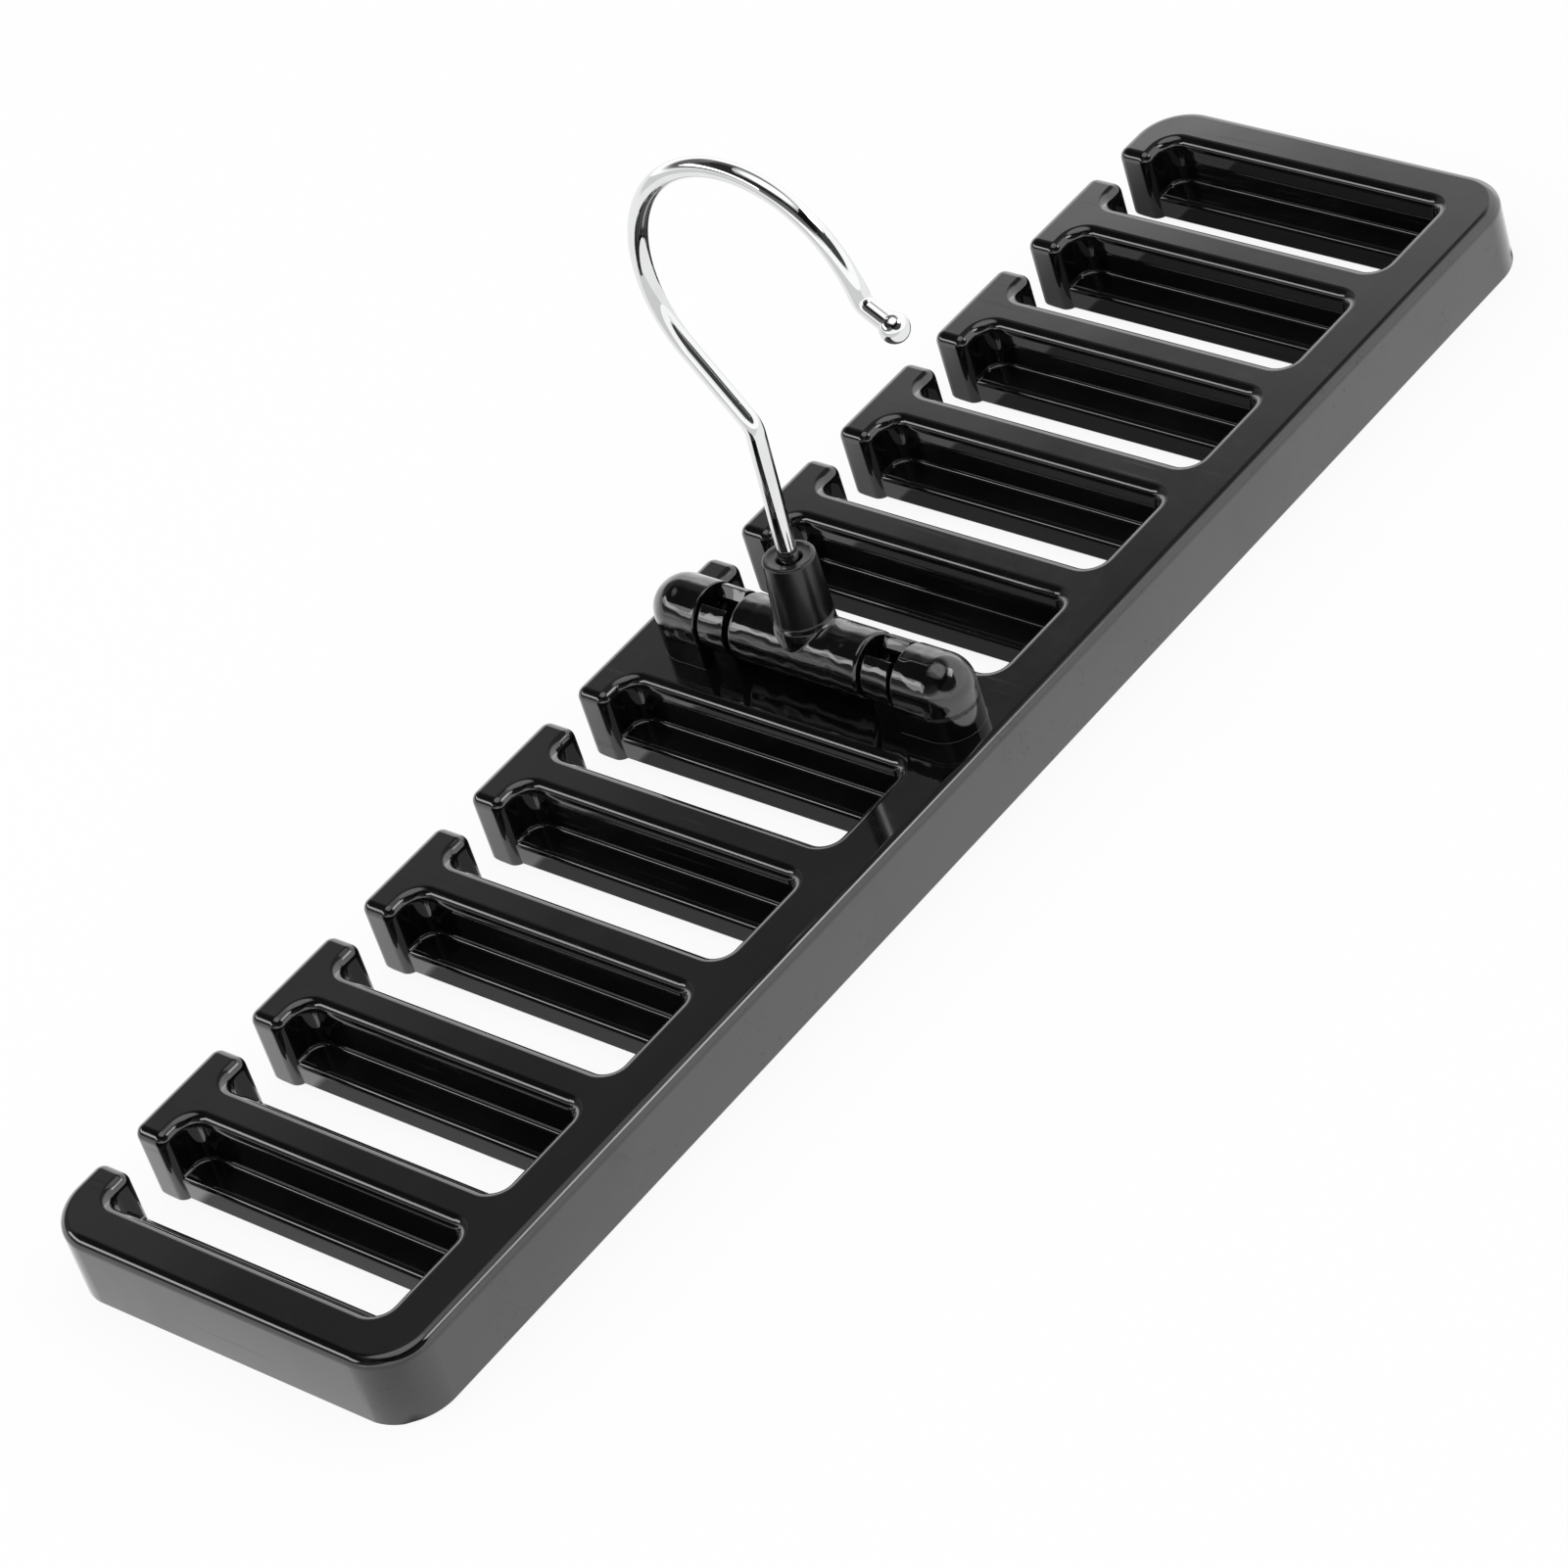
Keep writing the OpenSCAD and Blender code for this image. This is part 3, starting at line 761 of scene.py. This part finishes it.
def ledge(rack, wall, side):
    """The low ledge beside one wall of a slot, hollow below."""
    bm = bmesh.new()
    hair = 0.03 * MM
    spine_y, head_y = slot_ends(rack)
    ceiling = rack.ledge_h - rack.wall_t + hair
    inner, soft = rack.ledge_w - rack.wall_t, rack.ledge_r

    def at(out, z):
        return (wall + side * out, spine_y - BURIED, z)

    chain = drawn(
        bm, at(-BURIED, ceiling), at(inner, ceiling), at(inner, hair),
        at(rack.ledge_w - rack.foot_r, hair),
        (at(rack.ledge_w - rack.foot_r, hair + rack.foot_r), Y, -side * QUARTER, 3),
        at(rack.ledge_w, rack.ledge_h - soft),
        (at(rack.ledge_w - soft, rack.ledge_h - soft), Y, -side * QUARTER, 8),
        at(-BURIED, rack.ledge_h),
    )
    extruded(bm, [bm.faces.new(chain)], (0, head_y - spine_y + 2 * BURIED, 0))
    return bm


def crease(rack, wall, side):
    """The fillet round a ledge: under the head, round the hollow corners and along the stem."""
    bm = bmesh.new()
    soft, root = rack.crease_r, rack.root_r
    spine_y, head_y = slot_ends(rack)
    start = rack.ledge_w - 0.4 * rack.ledge_r
    x, low, high = wall + side * start, rack.ledge_h - BURIED, rack.ledge_h + soft
    chain = drawn(
        bm, (x, head_y - soft, low), (x, head_y + BURIED, low), (x, head_y + BURIED, high),
        (x, head_y, high), ((x, head_y - soft, high), X, -QUARTER, 6),
    )
    first = ring = edges_between(chain) + [bm.edges.new((chain[-1], chain[0]))]
    across = Vector((side * (start - root), 0, 0))
    down = Vector((0, spine_y - head_y + 2 * root, 0))
    for centre_y, run in ((head_y - root, -across), (spine_y + root, down)):
        ring = pushed(bm, ring, run)
        ring = swung(bm, ring, (wall + side * root, centre_y, 0), Z, side * QUARTER, 8)
    ring = pushed(bm, ring, across)
    filled(bm, first)
    filled(bm, ring)
    return bm


def post(rack, hinge):
    """A domed post that stands beyond a clip, with a fillet round its foot."""
    bm = bmesh.new()
    radius, foot = hinge.barrel_r, hinge.post_foot
    dome_y = hinge.post_in + hinge.post_l
    sunk = rack.height - SUNK
    chain = drawn(
        bm, (radius + foot, dome_y, sunk), (radius + foot, dome_y, rack.height),
        ((radius + foot, dome_y, rack.height + foot), Y, QUARTER, 5),
        (radius, dome_y, hinge.axis_z), ((0, dome_y, hinge.axis_z), Y, -QUARTER, 16),
    )
    lathe(bm, chain, Z, 32, (0, dome_y, 0), half=True)
    bmesh.ops.remove_doubles(bm, verts=bm.verts, dist=SAME)

    def at_place(edge, y):
        return all(abs(v.co.y - y) < TINY for v in edge.verts)

    arch = [
        e for e in bm.edges
        if e.is_boundary and at_place(e, dome_y)
        and all(v.co.z > sunk + TINY or abs(v.co.x) > TINY for v in e.verts)
    ]
    pushed(bm, arch, (0, -hinge.post_l, 0))
    filled(bm, [e for e in bm.edges if e.is_boundary and at_place(e, hinge.post_in)])
    filled(bm, [e for e in bm.edges if e.is_boundary])
    cleaned(bm)
    rim = [
        e for e in sharp_edges(bm, 50)
        if at_place(e, hinge.post_in) and all(v.co.z > rack.height + 2 * foot for v in e.verts)
    ]
    rounded(bm, rim, SOFT, 3)
    return bm


def snap_slot(hinge):
    """The space of a clip's slot, with a sloping lead-in on both sides."""
    bm = bmesh.new()
    half, lip = hinge.snap_w / 2, hinge.snap_lip
    mouth = hinge.axis_z + math.sqrt(hinge.clip_r**2 - (half + lip) ** 2) - lip
    wide, top = half + lip, mouth + 3 * lip
    one_side = [(half, hinge.axis_z), (half, mouth), (wide, mouth + lip), (wide, top)]
    outline = one_side + [(-x, z) for x, z in reversed(one_side)]
    points = [(x, hinge.clip_in - PAST, z) for x, z in outline]
    chain = drawn(bm, points[-1], *points[:-1])
    extruded(bm, [bm.faces.new(chain)], (0, hinge.clip_l + 2 * PAST, 0))
    return cleaned(bm)


def clip(hinge):
    """A snap clip: a ring with a slot in its top that flares into a lead-in."""
    bm = bmesh.new()
    upright = Matrix.Rotation(QUARTER, 4, "X")
    place = Matrix.Translation((0, hinge.clip_in, hinge.axis_z)) @ upright
    rings = circle(bm, hinge.clip_r, 72, place) + circle(bm, hinge.bore_r, 72, place)
    bmesh.ops.bridge_loops(bm, edges=rings)
    extruded(bm, list(bm.faces), (0, hinge.clip_l, 0))
    bm = cleaned(cut(cleaned(bm), snap_slot(hinge)))
    rounded(bm, sharp_edges(bm, 50), FINE, 2)
    return bm


def web(rack, hinge):
    """The web that carries a clip."""
    bm = bmesh.new()
    hair, under_bore = 0.04 * MM, 0.5 * MM
    along = (hinge.clip_in + hair, hinge.clip_in + hinge.clip_l - hair)
    up = (rack.height - SUNK, hinge.axis_z - hinge.bore_r - under_bore)
    box(bm, (-hinge.web_w / 2, hinge.web_w / 2), along, up)
    upright = [e for e in bm.edges if abs(e.verts[0].co.z - e.verts[1].co.z) > hair]
    rounded(bm, upright, SOFT, 3)
    return bm


class TIEHANGER_OT_rack(Operator):
    """Builds the rack as one moulding with its posts and clips"""

    bl_idname = "tie_hanger.rack"
    bl_label = "Rack"

    def execute(self, context):
        rack = context.scene.tie_hanger_rack
        hinge = context.scene.tie_hanger_hinge
        walls = slot_places(rack)
        bm = bmesh.new()
        bm.verts.layers.float.new("edge")
        absorb(bm, rack_body(rack, hinge, walls))
        for left, right in walls:
            for wall, side in ((left, 1), (right, -1)):
                absorb(bm, ledge(rack, wall, side))
                absorb(bm, crease(rack, wall, side))
        shift = Matrix.Translation((0, -hinge.shift, 0))
        for side in (-1, 1):
            place = shift @ Matrix.Diagonal((1, side, 1, 1))
            for part in (post(rack, hinge), clip(hinge), web(rack, hinge)):
                bmesh.ops.transform(part, matrix=place, verts=part.verts)
                absorb(bm, part)
        material = black_plastic(
            context.scene.tie_hanger_finish, "Rack plastic", 55.0, (0.0, 0.0, 0.0),
            hinge.axis_z - hinge.barrel_r / 2, NOWHERE,
        )
        finished("rack_moulding", bm, material, "rack", RACK_NODES)
        return {"FINISHED"}


# The yoke


def barrel(hinge):
    """The yoke's barrel, a round bar with softened ends."""
    radius, end, soft = hinge.barrel_r, hinge.barrel_l / 2, hinge.barrel_edge
    return turned_piece(
        Y, 128, (0, -end, 0), (0, -end, radius - soft),
        ((0, soft - end, radius - soft), X, -QUARTER, 6),
        (0, end - soft, radius), ((0, end - soft, radius - soft), X, -QUARTER, 6), (0, end, 0),
    )


def pocket(hinge):
    """The space for the wire's head, open below."""
    radius, low, lip = hinge.pocket_r, -hinge.barrel_r - PAST, 0.35 * MM
    mouth = -math.sqrt(hinge.barrel_r**2 - radius**2)
    return turned_piece(
        Z, 64, (0, 0, hinge.seat_h), (radius, 0, hinge.seat_h), (radius, 0, mouth + lip),
        (radius + 2 * lip, 0, low), (0, 0, low),
    )


def foot_point(hinge, angle, along):
    """A point of the fillet between the boss and the barrel, in the direction of an angle."""
    across = math.cos(angle) ** 2
    fillet, radius = hinge.boss_foot, hinge.barrel_r
    taper = (hinge.boss_top_r - hinge.boss_base_r) / (hinge.boss_h - hinge.rim_r)
    centre_z = radius
    for _ in range(4):
        centre = hinge.boss_base_r + taper * centre_z + fillet
        low, high = 0.0, min(centre, 0.99999 * radius / math.sqrt(max(across, 1e-9)))
        for _ in range(40):
            out = (low + high) / 2
            z = math.sqrt(max(radius**2 - out**2 * across, 1e-14))
            length = math.hypot(out * across, z)
            if out + fillet * out * across / length < centre:
                low = out
            else:
                high = out
        centre_z = z + fillet * z / length
    end = math.atan2(-z, -out * across) % (2 * math.pi)
    turned = math.pi + (end - math.pi) * along
    return centre + fillet * math.cos(turned), centre_z + fillet * math.sin(turned)


def boss(hinge):
    """The tapering boss, with a dish and a flared bore, laid on the barrel with a fillet.

    Its underside is open, inside the barrel and where the fillet meets the barrel's surface.
    """
    bm = bmesh.new()
    ring = bm.verts.layers.int.new("ring")
    steps = 7
    top, rim, soft, bore = hinge.boss_h, hinge.rim_r, 0.18 * MM, hinge.wire_bore
    floor, dish, top_r = top - hinge.dish_d, hinge.dish_r, hinge.boss_top_r
    hidden = hinge.seat_h + 0.2 * MM
    fillet = [foot_point(hinge, QUARTER, step / steps) for step in range(steps + 1)]
    chain = drawn(
        bm, (bore, 0, hidden), (bore, 0, floor - hinge.mouth_d),
        (hinge.mouth_r, 0, floor - soft), (hinge.mouth_r + soft, 0, floor),
        (dish - soft, 0, floor), ((dish - soft, 0, floor + soft), Y, -QUARTER, 4),
        (dish, 0, top - soft / 2), (dish + soft / 2, 0, top), (top_r - rim, 0, top),
        ((top_r - rim, 0, top - rim), Y, QUARTER, 6),
        *((out, 0, z) for out, z in fillet),
    )
    for step, vert in enumerate(chain[-steps - 1:]):
        vert[ring] = step + 1
    lathe(bm, chain, Z, 128)
    for vert in bm.verts:
        if vert[ring]:
            angle = math.atan2(vert.co.y, vert.co.x)
            out, z = foot_point(hinge, angle, (vert[ring] - 1) / steps)
            vert.co = (out * math.cos(angle), out * math.sin(angle), z)
    return cleaned(bm)


def axle(hinge):
    """The axle stubs, one bar with two flats through the barrel."""
    bm = bmesh.new()
    bmesh.ops.create_cone(
        bm, cap_ends=True, segments=64, radius1=hinge.axle_r, radius2=hinge.axle_r,
        depth=2 * hinge.axle_end, matrix=Matrix.Rotation(QUARTER, 4, "X"),
    )
    for side in (-1, 1):
        flat = bmesh.ops.bisect_plane(
            bm, geom=list(bm.verts) + list(bm.edges) + list(bm.faces), dist=TINY,
            plane_co=(0, 0, side * hinge.axle_flat / 2), plane_no=(0, 0, side), clear_outer=True,
        )["geom_cut"]
        filled(bm, [g for g in flat if isinstance(g, bmesh.types.BMEdge)])
    cleaned(bm)
    rounded(bm, sharp_edges(bm, 60), FINE, 2)
    return bm


class TIEHANGER_OT_yoke(Operator):
    """Builds the folding yoke: barrel, boss and axle stubs"""

    bl_idname = "tie_hanger.yoke"
    bl_label = "Yoke"

    def execute(self, context):
        hinge = context.scene.tie_hanger_hinge
        bm = bmesh.new()
        for part in (cut(barrel(hinge), pocket(hinge)), boss(hinge), axle(hinge)):
            absorb(bm, part)
        material = black_plastic(
            context.scene.tie_hanger_finish, "Yoke plastic", 70.0, (0.31, 0.12, 0.07), 0.0,
            hinge.axis_z + hinge.barrel_r,
        )
        finished("yoke_moulding", bm, material, "yoke", ["hinge_yoke"],
                 hinge_place(context))
        return {"FINISHED"}


# The hook


def bent(bm, ring, place, run, radius, angle, steps):
    """Draws wire on through a straight run and a bend, and gives its new ring and place."""
    ring = pushed(bm, ring, place.to_3x3() @ Z * run)
    place = place @ Matrix.Translation((0, 0, run))
    if not angle:
        return ring, place
    side = math.copysign(radius, angle)
    ring = swung(bm, ring, place @ Vector((0, side, 0)), place.to_3x3() @ X, -angle, steps)
    turned = (Matrix.Translation((0, side, 0)) @ Matrix.Rotation(-angle, 4, "X")
              @ Matrix.Translation((0, -side, 0)))
    return ring, place @ turned


def wire(hook):
    """The bent wire in the hinge's coordinates, and the place of its end."""
    bm = bmesh.new()
    place = Matrix.Translation((0, 0, hook.foot))
    first = ring = circle(bm, hook.wire_r, 40, place)
    for run, radius, angle, steps in (
        (hook.shank, hook.shank_bend, hook.shank_turn, 14),
        (hook.slant, hook.crook_r, hook.crook_turn, 110),
        (hook.flare, hook.tip_bend, hook.tip_turn, 14),
        (hook.tip, 0.0, 0.0, 0),
    ):
        ring, place = bent(bm, ring, place, run, radius, angle, steps)
    filled(bm, first)
    filled(bm, ring)
    return bm, place


def upset_head(hook):
    """The wire's upset head inside the yoke."""
    soft = 0.35 * MM
    radius, low, high = hook.head_r, hook.foot - hook.head_t, hook.foot
    return turned_piece(
        Z, 48, (0, 0, low), (radius - soft, 0, low),
        ((radius - soft, 0, low + soft), Y, -QUARTER, 5), (radius, 0, high), (0, 0, high),
    )


def ball(hook):
    """The ball, drawn about its centre, with a bore that the wire's tip fills."""
    bore, soft, lip = hook.ball_bore, 0.12 * MM, 0.1 * MM
    low = -math.sqrt(hook.ball_r**2 - (bore + soft) ** 2)
    start = math.atan2(bore + soft, -low)
    return turned_piece(
        Z, 64, (0, 0, 0), (bore, 0, 0), (bore, 0, low + lip), (bore + soft, 0, low),
        ((0, 0, 0), Y, start - math.pi, 30),
    )


class TIEHANGER_OT_hook(Operator):
    """Bends the hook's wire"""

    bl_idname = "tie_hanger.hook"
    bl_label = "Hook"

    def execute(self, context):
        hook = context.scene.tie_hanger_hook
        bm = bmesh.new()
        absorb(bm, wire(hook)[0])
        absorb(bm, upset_head(hook))
        material = chrome_plate(context.scene.tie_hanger_finish, "Hook chrome")
        finished("hook_bent_wire", bm, material, "hook", ["hook_wire"],
                 hinge_place(context))
        return {"FINISHED"}


class TIEHANGER_OT_ball(Operator):
    """Turns the ball on the hook's tip"""

    bl_idname = "tie_hanger.ball"
    bl_label = "Ball"

    def execute(self, context):
        hook = context.scene.tie_hanger_hook
        spare, tip = wire(hook)
        spare.free()
        material = chrome_plate(context.scene.tie_hanger_finish, "Ball chrome")
        finished("hook_ball", ball(hook), material, "hook", ["ball_tip"],
                 hinge_place(context) @ tip)
        return {"FINISHED"}


# The stage

PHOTO_SIDE = 1601  # the photo's width and height in pixels
PHOTO_FOCUS = 6245.17  # the fitted camera's focal length in the same pixels
SENSOR = 36.0
LAMP_DISTANCE = 1.3
FLOOR_HALF = 4.0
FLOOR_Z = -0.2 * MM  # just clear of the rack's feet


def floor_material(finish, rack):
    """A pale floor that the camera sees white, with the object's shadow kept.

    Reflections show the floor as white too, with a painted shadow: a mask by place darkens it in
    the slots, their mouths and past the near end, where the rack would keep light off it.
    """
    material = bpy.data.materials.new("Pale floor")
    material.use_nodes = True
    tree = material.node_tree
    tree.nodes.clear()
    camera_ray, mirrored = kinds_of_ray(tree)
    place = tree.nodes.new("ShaderNodeTexCoord").outputs["Object"]
    spot = node(tree, "ShaderNodeSeparateXYZ", {0: place}).outputs
    low, high = -rack.depth / 2, rack.depth / 2 - rack.head_t
    half_l, soft = rack.length / 2, 3 * MM
    along, across = spot["X"], spot["Y"]

    def near(value, reach):
        """1 up to a distance on both sides of the middle, and 0 past it."""
        return ranged(tree, calculated(tree, "ABSOLUTE", value), reach - soft, reach, 1.0, 0.0)

    # Painted shadow: masks by place dim the floor's glow, as reflections see it, under the slots,
    # in their mouths and past the near end, and more towards the far end.
    within = near(along, half_l)
    slots = near(calculated(tree, "SUBTRACT", across, (low + high) / 2), (high - low) / 2)
    mouths = times(
        tree, ranged(tree, across, rack.depth / 2, 2 * high, 1.0, 0.0),
        calculated(tree, "GREATER_THAN", across, 0.0),
    )
    in_slots = ranged(tree, along, -half_l, half_l, 0.72, 0.95, kind="LINEAR")
    in_mouths = ranged(tree, along, -half_l, half_l, 0.0, 0.84, kind="LINEAR")
    inside = calculated(
        tree, "MAXIMUM", times(tree, slots, in_slots), times(tree, mouths, in_mouths)
    )
    beyond = ranged(tree, along, -half_l - 4 * soft, -half_l + 4 * soft, 0.25, 0.0)
    painted_floor_shadow = calculated(tree, "MAXIMUM", times(tree, inside, within), beyond)
    light = calculated(tree, "SUBTRACT", 1.0, times(tree, painted_floor_shadow, mirrored))
    glow = node(tree, "ShaderNodeEmission", {"Color": WHITE, "Strength": light})
    diffuse = node(tree, "ShaderNodeBsdfDiffuse", {"Color": (*finish.floor, 1.0)})
    glowing = calculated(tree, "MAXIMUM", times(tree, camera_ray, 0.9), mirrored)
    above = node(
        tree, "ShaderNodeMixShader", {0: glowing, 1: diffuse.outputs[0], 2: glow.outputs[0]}
    )
    from_below = tree.nodes.new("ShaderNodeNewGeometry").outputs["Backfacing"]
    clear = tree.nodes.new("ShaderNodeBsdfTransparent").outputs[0]
    whole = node(tree, "ShaderNodeMixShader", {0: from_below, 1: above.outputs[0], 2: clear})
    node(tree, "ShaderNodeOutputMaterial", {"Surface": whole.outputs[0]})
    return material


def studio_world():
    """White walls that darken upwards, dark behind the camera, and a soft ceiling."""
    world = bpy.data.worlds.new("Studio")
    bpy.context.scene.world = world
    world.use_nodes = True
    tree = world.node_tree
    background = next(n for n in tree.nodes if n.type == "BACKGROUND")
    direction = tree.nodes.new("ShaderNodeTexCoord").outputs["Generated"]

    def towards(x, y, z):
        """How far a direction leans towards another, 1 where they agree."""
        sockets = {0: direction, 1: (x, y, z)}
        return node(
            tree, "ShaderNodeVectorMath", sockets, operation="DOT_PRODUCT"
        ).outputs["Value"]

    tilt = towards(-0.3, 0.3, 0.905)
    over_the_heads = towards(0.0, 0.714, -0.70)
    walls = times(
        tree,
        ranged(tree, tilt, 0.4, 0.585, 1.2, 0.14),
        ranged(tree, tilt, 0.74, 0.86, 1.0, 0.2),
        ranged(tree, towards(-0.2, -0.6, 0.775), 0.77, 0.83, 1.0, 0.05),
        ranged(tree, over_the_heads, 0.0, 0.022, 1.0, 1.75),
        ranged(tree, over_the_heads, 0.05, 0.2, 1.0, 0.6),
    )
    ceiling = ranged(tree, towards(0.0, 0.0, 1.0), 0.88, 0.95, 0.0, 0.8)
    camera_ray, mirrored = kinds_of_ray(tree)
    lit = chosen(tree, mirrored, 0.85, plus(tree, walls, ceiling))
    seen = chosen(tree, camera_ray, lit, 1.0)
    feed(tree, background, {"Color": WHITE, "Strength": seen})


def soft_box(name, azimuth, elevation, width, height, radiance):
    """An area lamp round the object, aimed at it, unseen by the camera."""
    lamp = bpy.data.lights.new(name, "AREA")
    lamp.shape = "RECTANGLE"
    lamp.size, lamp.size_y = width, height
    lamp.energy = radiance * math.pi * width * height
    made = placed(name, lamp)
    a, e = math.radians(azimuth), math.radians(elevation)
    towards = Vector((math.cos(a) * math.cos(e), math.sin(a) * math.cos(e), math.sin(e)))
    made.location = towards * LAMP_DISTANCE
    made.rotation_mode = "QUATERNION"
    made.rotation_quaternion = towards.to_track_quat("Z", "Y")
    made.visible_camera = False


def photo_camera():
    """The camera at the photo's angle, as it was fitted to the rack's edges."""
    camera = bpy.data.cameras.new("photo")
    camera.sensor_fit = "HORIZONTAL"
    camera.sensor_width = SENSOR
    camera.lens = SENSOR * PHOTO_FOCUS / PHOTO_SIDE
    camera.clip_start, camera.clip_end = 0.05, 30.0
    made = placed("photo", camera)
    right = Vector((0.60384189, -0.75634491, -0.25162938))
    down = Vector((-0.62342396, -0.25141006, -0.74036177))
    ahead = Vector((0.4967067, 0.60393323, -0.62333547))
    turned = Matrix((right, -down, -ahead)).transposed()
    made.matrix_world = Matrix.LocRotScale(
        Vector((-0.533957, -0.631778, 0.653634)), turned.to_quaternion(), None
    )
    return made


class TIEHANGER_OT_stage(Operator):
    """Sets the floor, the soft lamps and the camera"""

    bl_idname = "tie_hanger.stage"
    bl_label = "Stage"

    def execute(self, context):
        scene = context.scene
        scene.view_settings.view_transform = "Standard"
        bm = bmesh.new()
        bmesh.ops.create_grid(bm, x_segments=1, y_segments=1, size=FLOOR_HALF)
        bmesh.ops.translate(bm, verts=bm.verts, vec=(0, 0, FLOOR_Z))
        floor = placed("floor", mesh_of("floor", bm))
        floor.data.materials.append(floor_material(scene.tie_hanger_finish, scene.tie_hanger_rack))
        studio_world()
        soft_box("left_box", 135, 28, 1.1, 0.26, 3.3)
        soft_box("right_box", -57, 50, 0.5, 0.3, 3.6)
        soft_box("top_box", 0, 89, 1.2, 1.2, 0.5)
        scene.camera = photo_camera()
        return {"FINISHED"}


# The sidebar


class TIEHANGER_PT_sidebar(Panel):
    """Lists the pieces of the tie hanger"""

    bl_idname = "TIEHANGER_PT_sidebar"
    bl_label = "Tie hanger"
    bl_space_type = "VIEW_3D"
    bl_region_type = "UI"
    bl_category = "Tie hanger"

    def draw(self, context):
        for made in OPERATORS:
            self.layout.operator(made.bl_idname)
        for name, kind in GROUPS.items():
            column = self.layout.column(align=True)
            column.label(text=kind.__doc__)
            for key in kind.__annotations__:
                column.prop(getattr(context.scene, name), key)


GROUPS = {
    "tie_hanger_rack": TIEHANGER_PG_rack,
    "tie_hanger_hinge": TIEHANGER_PG_hinge,
    "tie_hanger_hook": TIEHANGER_PG_hook,
    "tie_hanger_finish": TIEHANGER_PG_finish,
}
OPERATORS = (
    TIEHANGER_OT_rack,
    TIEHANGER_OT_yoke,
    TIEHANGER_OT_hook,
    TIEHANGER_OT_ball,
    TIEHANGER_OT_stage,
)


def register():
    for made in (*GROUPS.values(), *OPERATORS, TIEHANGER_PT_sidebar):
        bpy.utils.register_class(made)
    for name, made in GROUPS.items():
        setattr(bpy.types.Scene, name, PointerProperty(type=made))


def unregister():
    for name in GROUPS:
        delattr(bpy.types.Scene, name)
    for made in (TIEHANGER_PT_sidebar, *reversed(OPERATORS), *reversed(GROUPS.values())):
        bpy.utils.unregister_class(made)


def main():
    register()
    bpy.ops.tie_hanger.rack()
    bpy.ops.tie_hanger.yoke()
    bpy.ops.tie_hanger.hook()
    bpy.ops.tie_hanger.ball()
    bpy.ops.tie_hanger.stage()


if __name__ == "__main__":
    main()
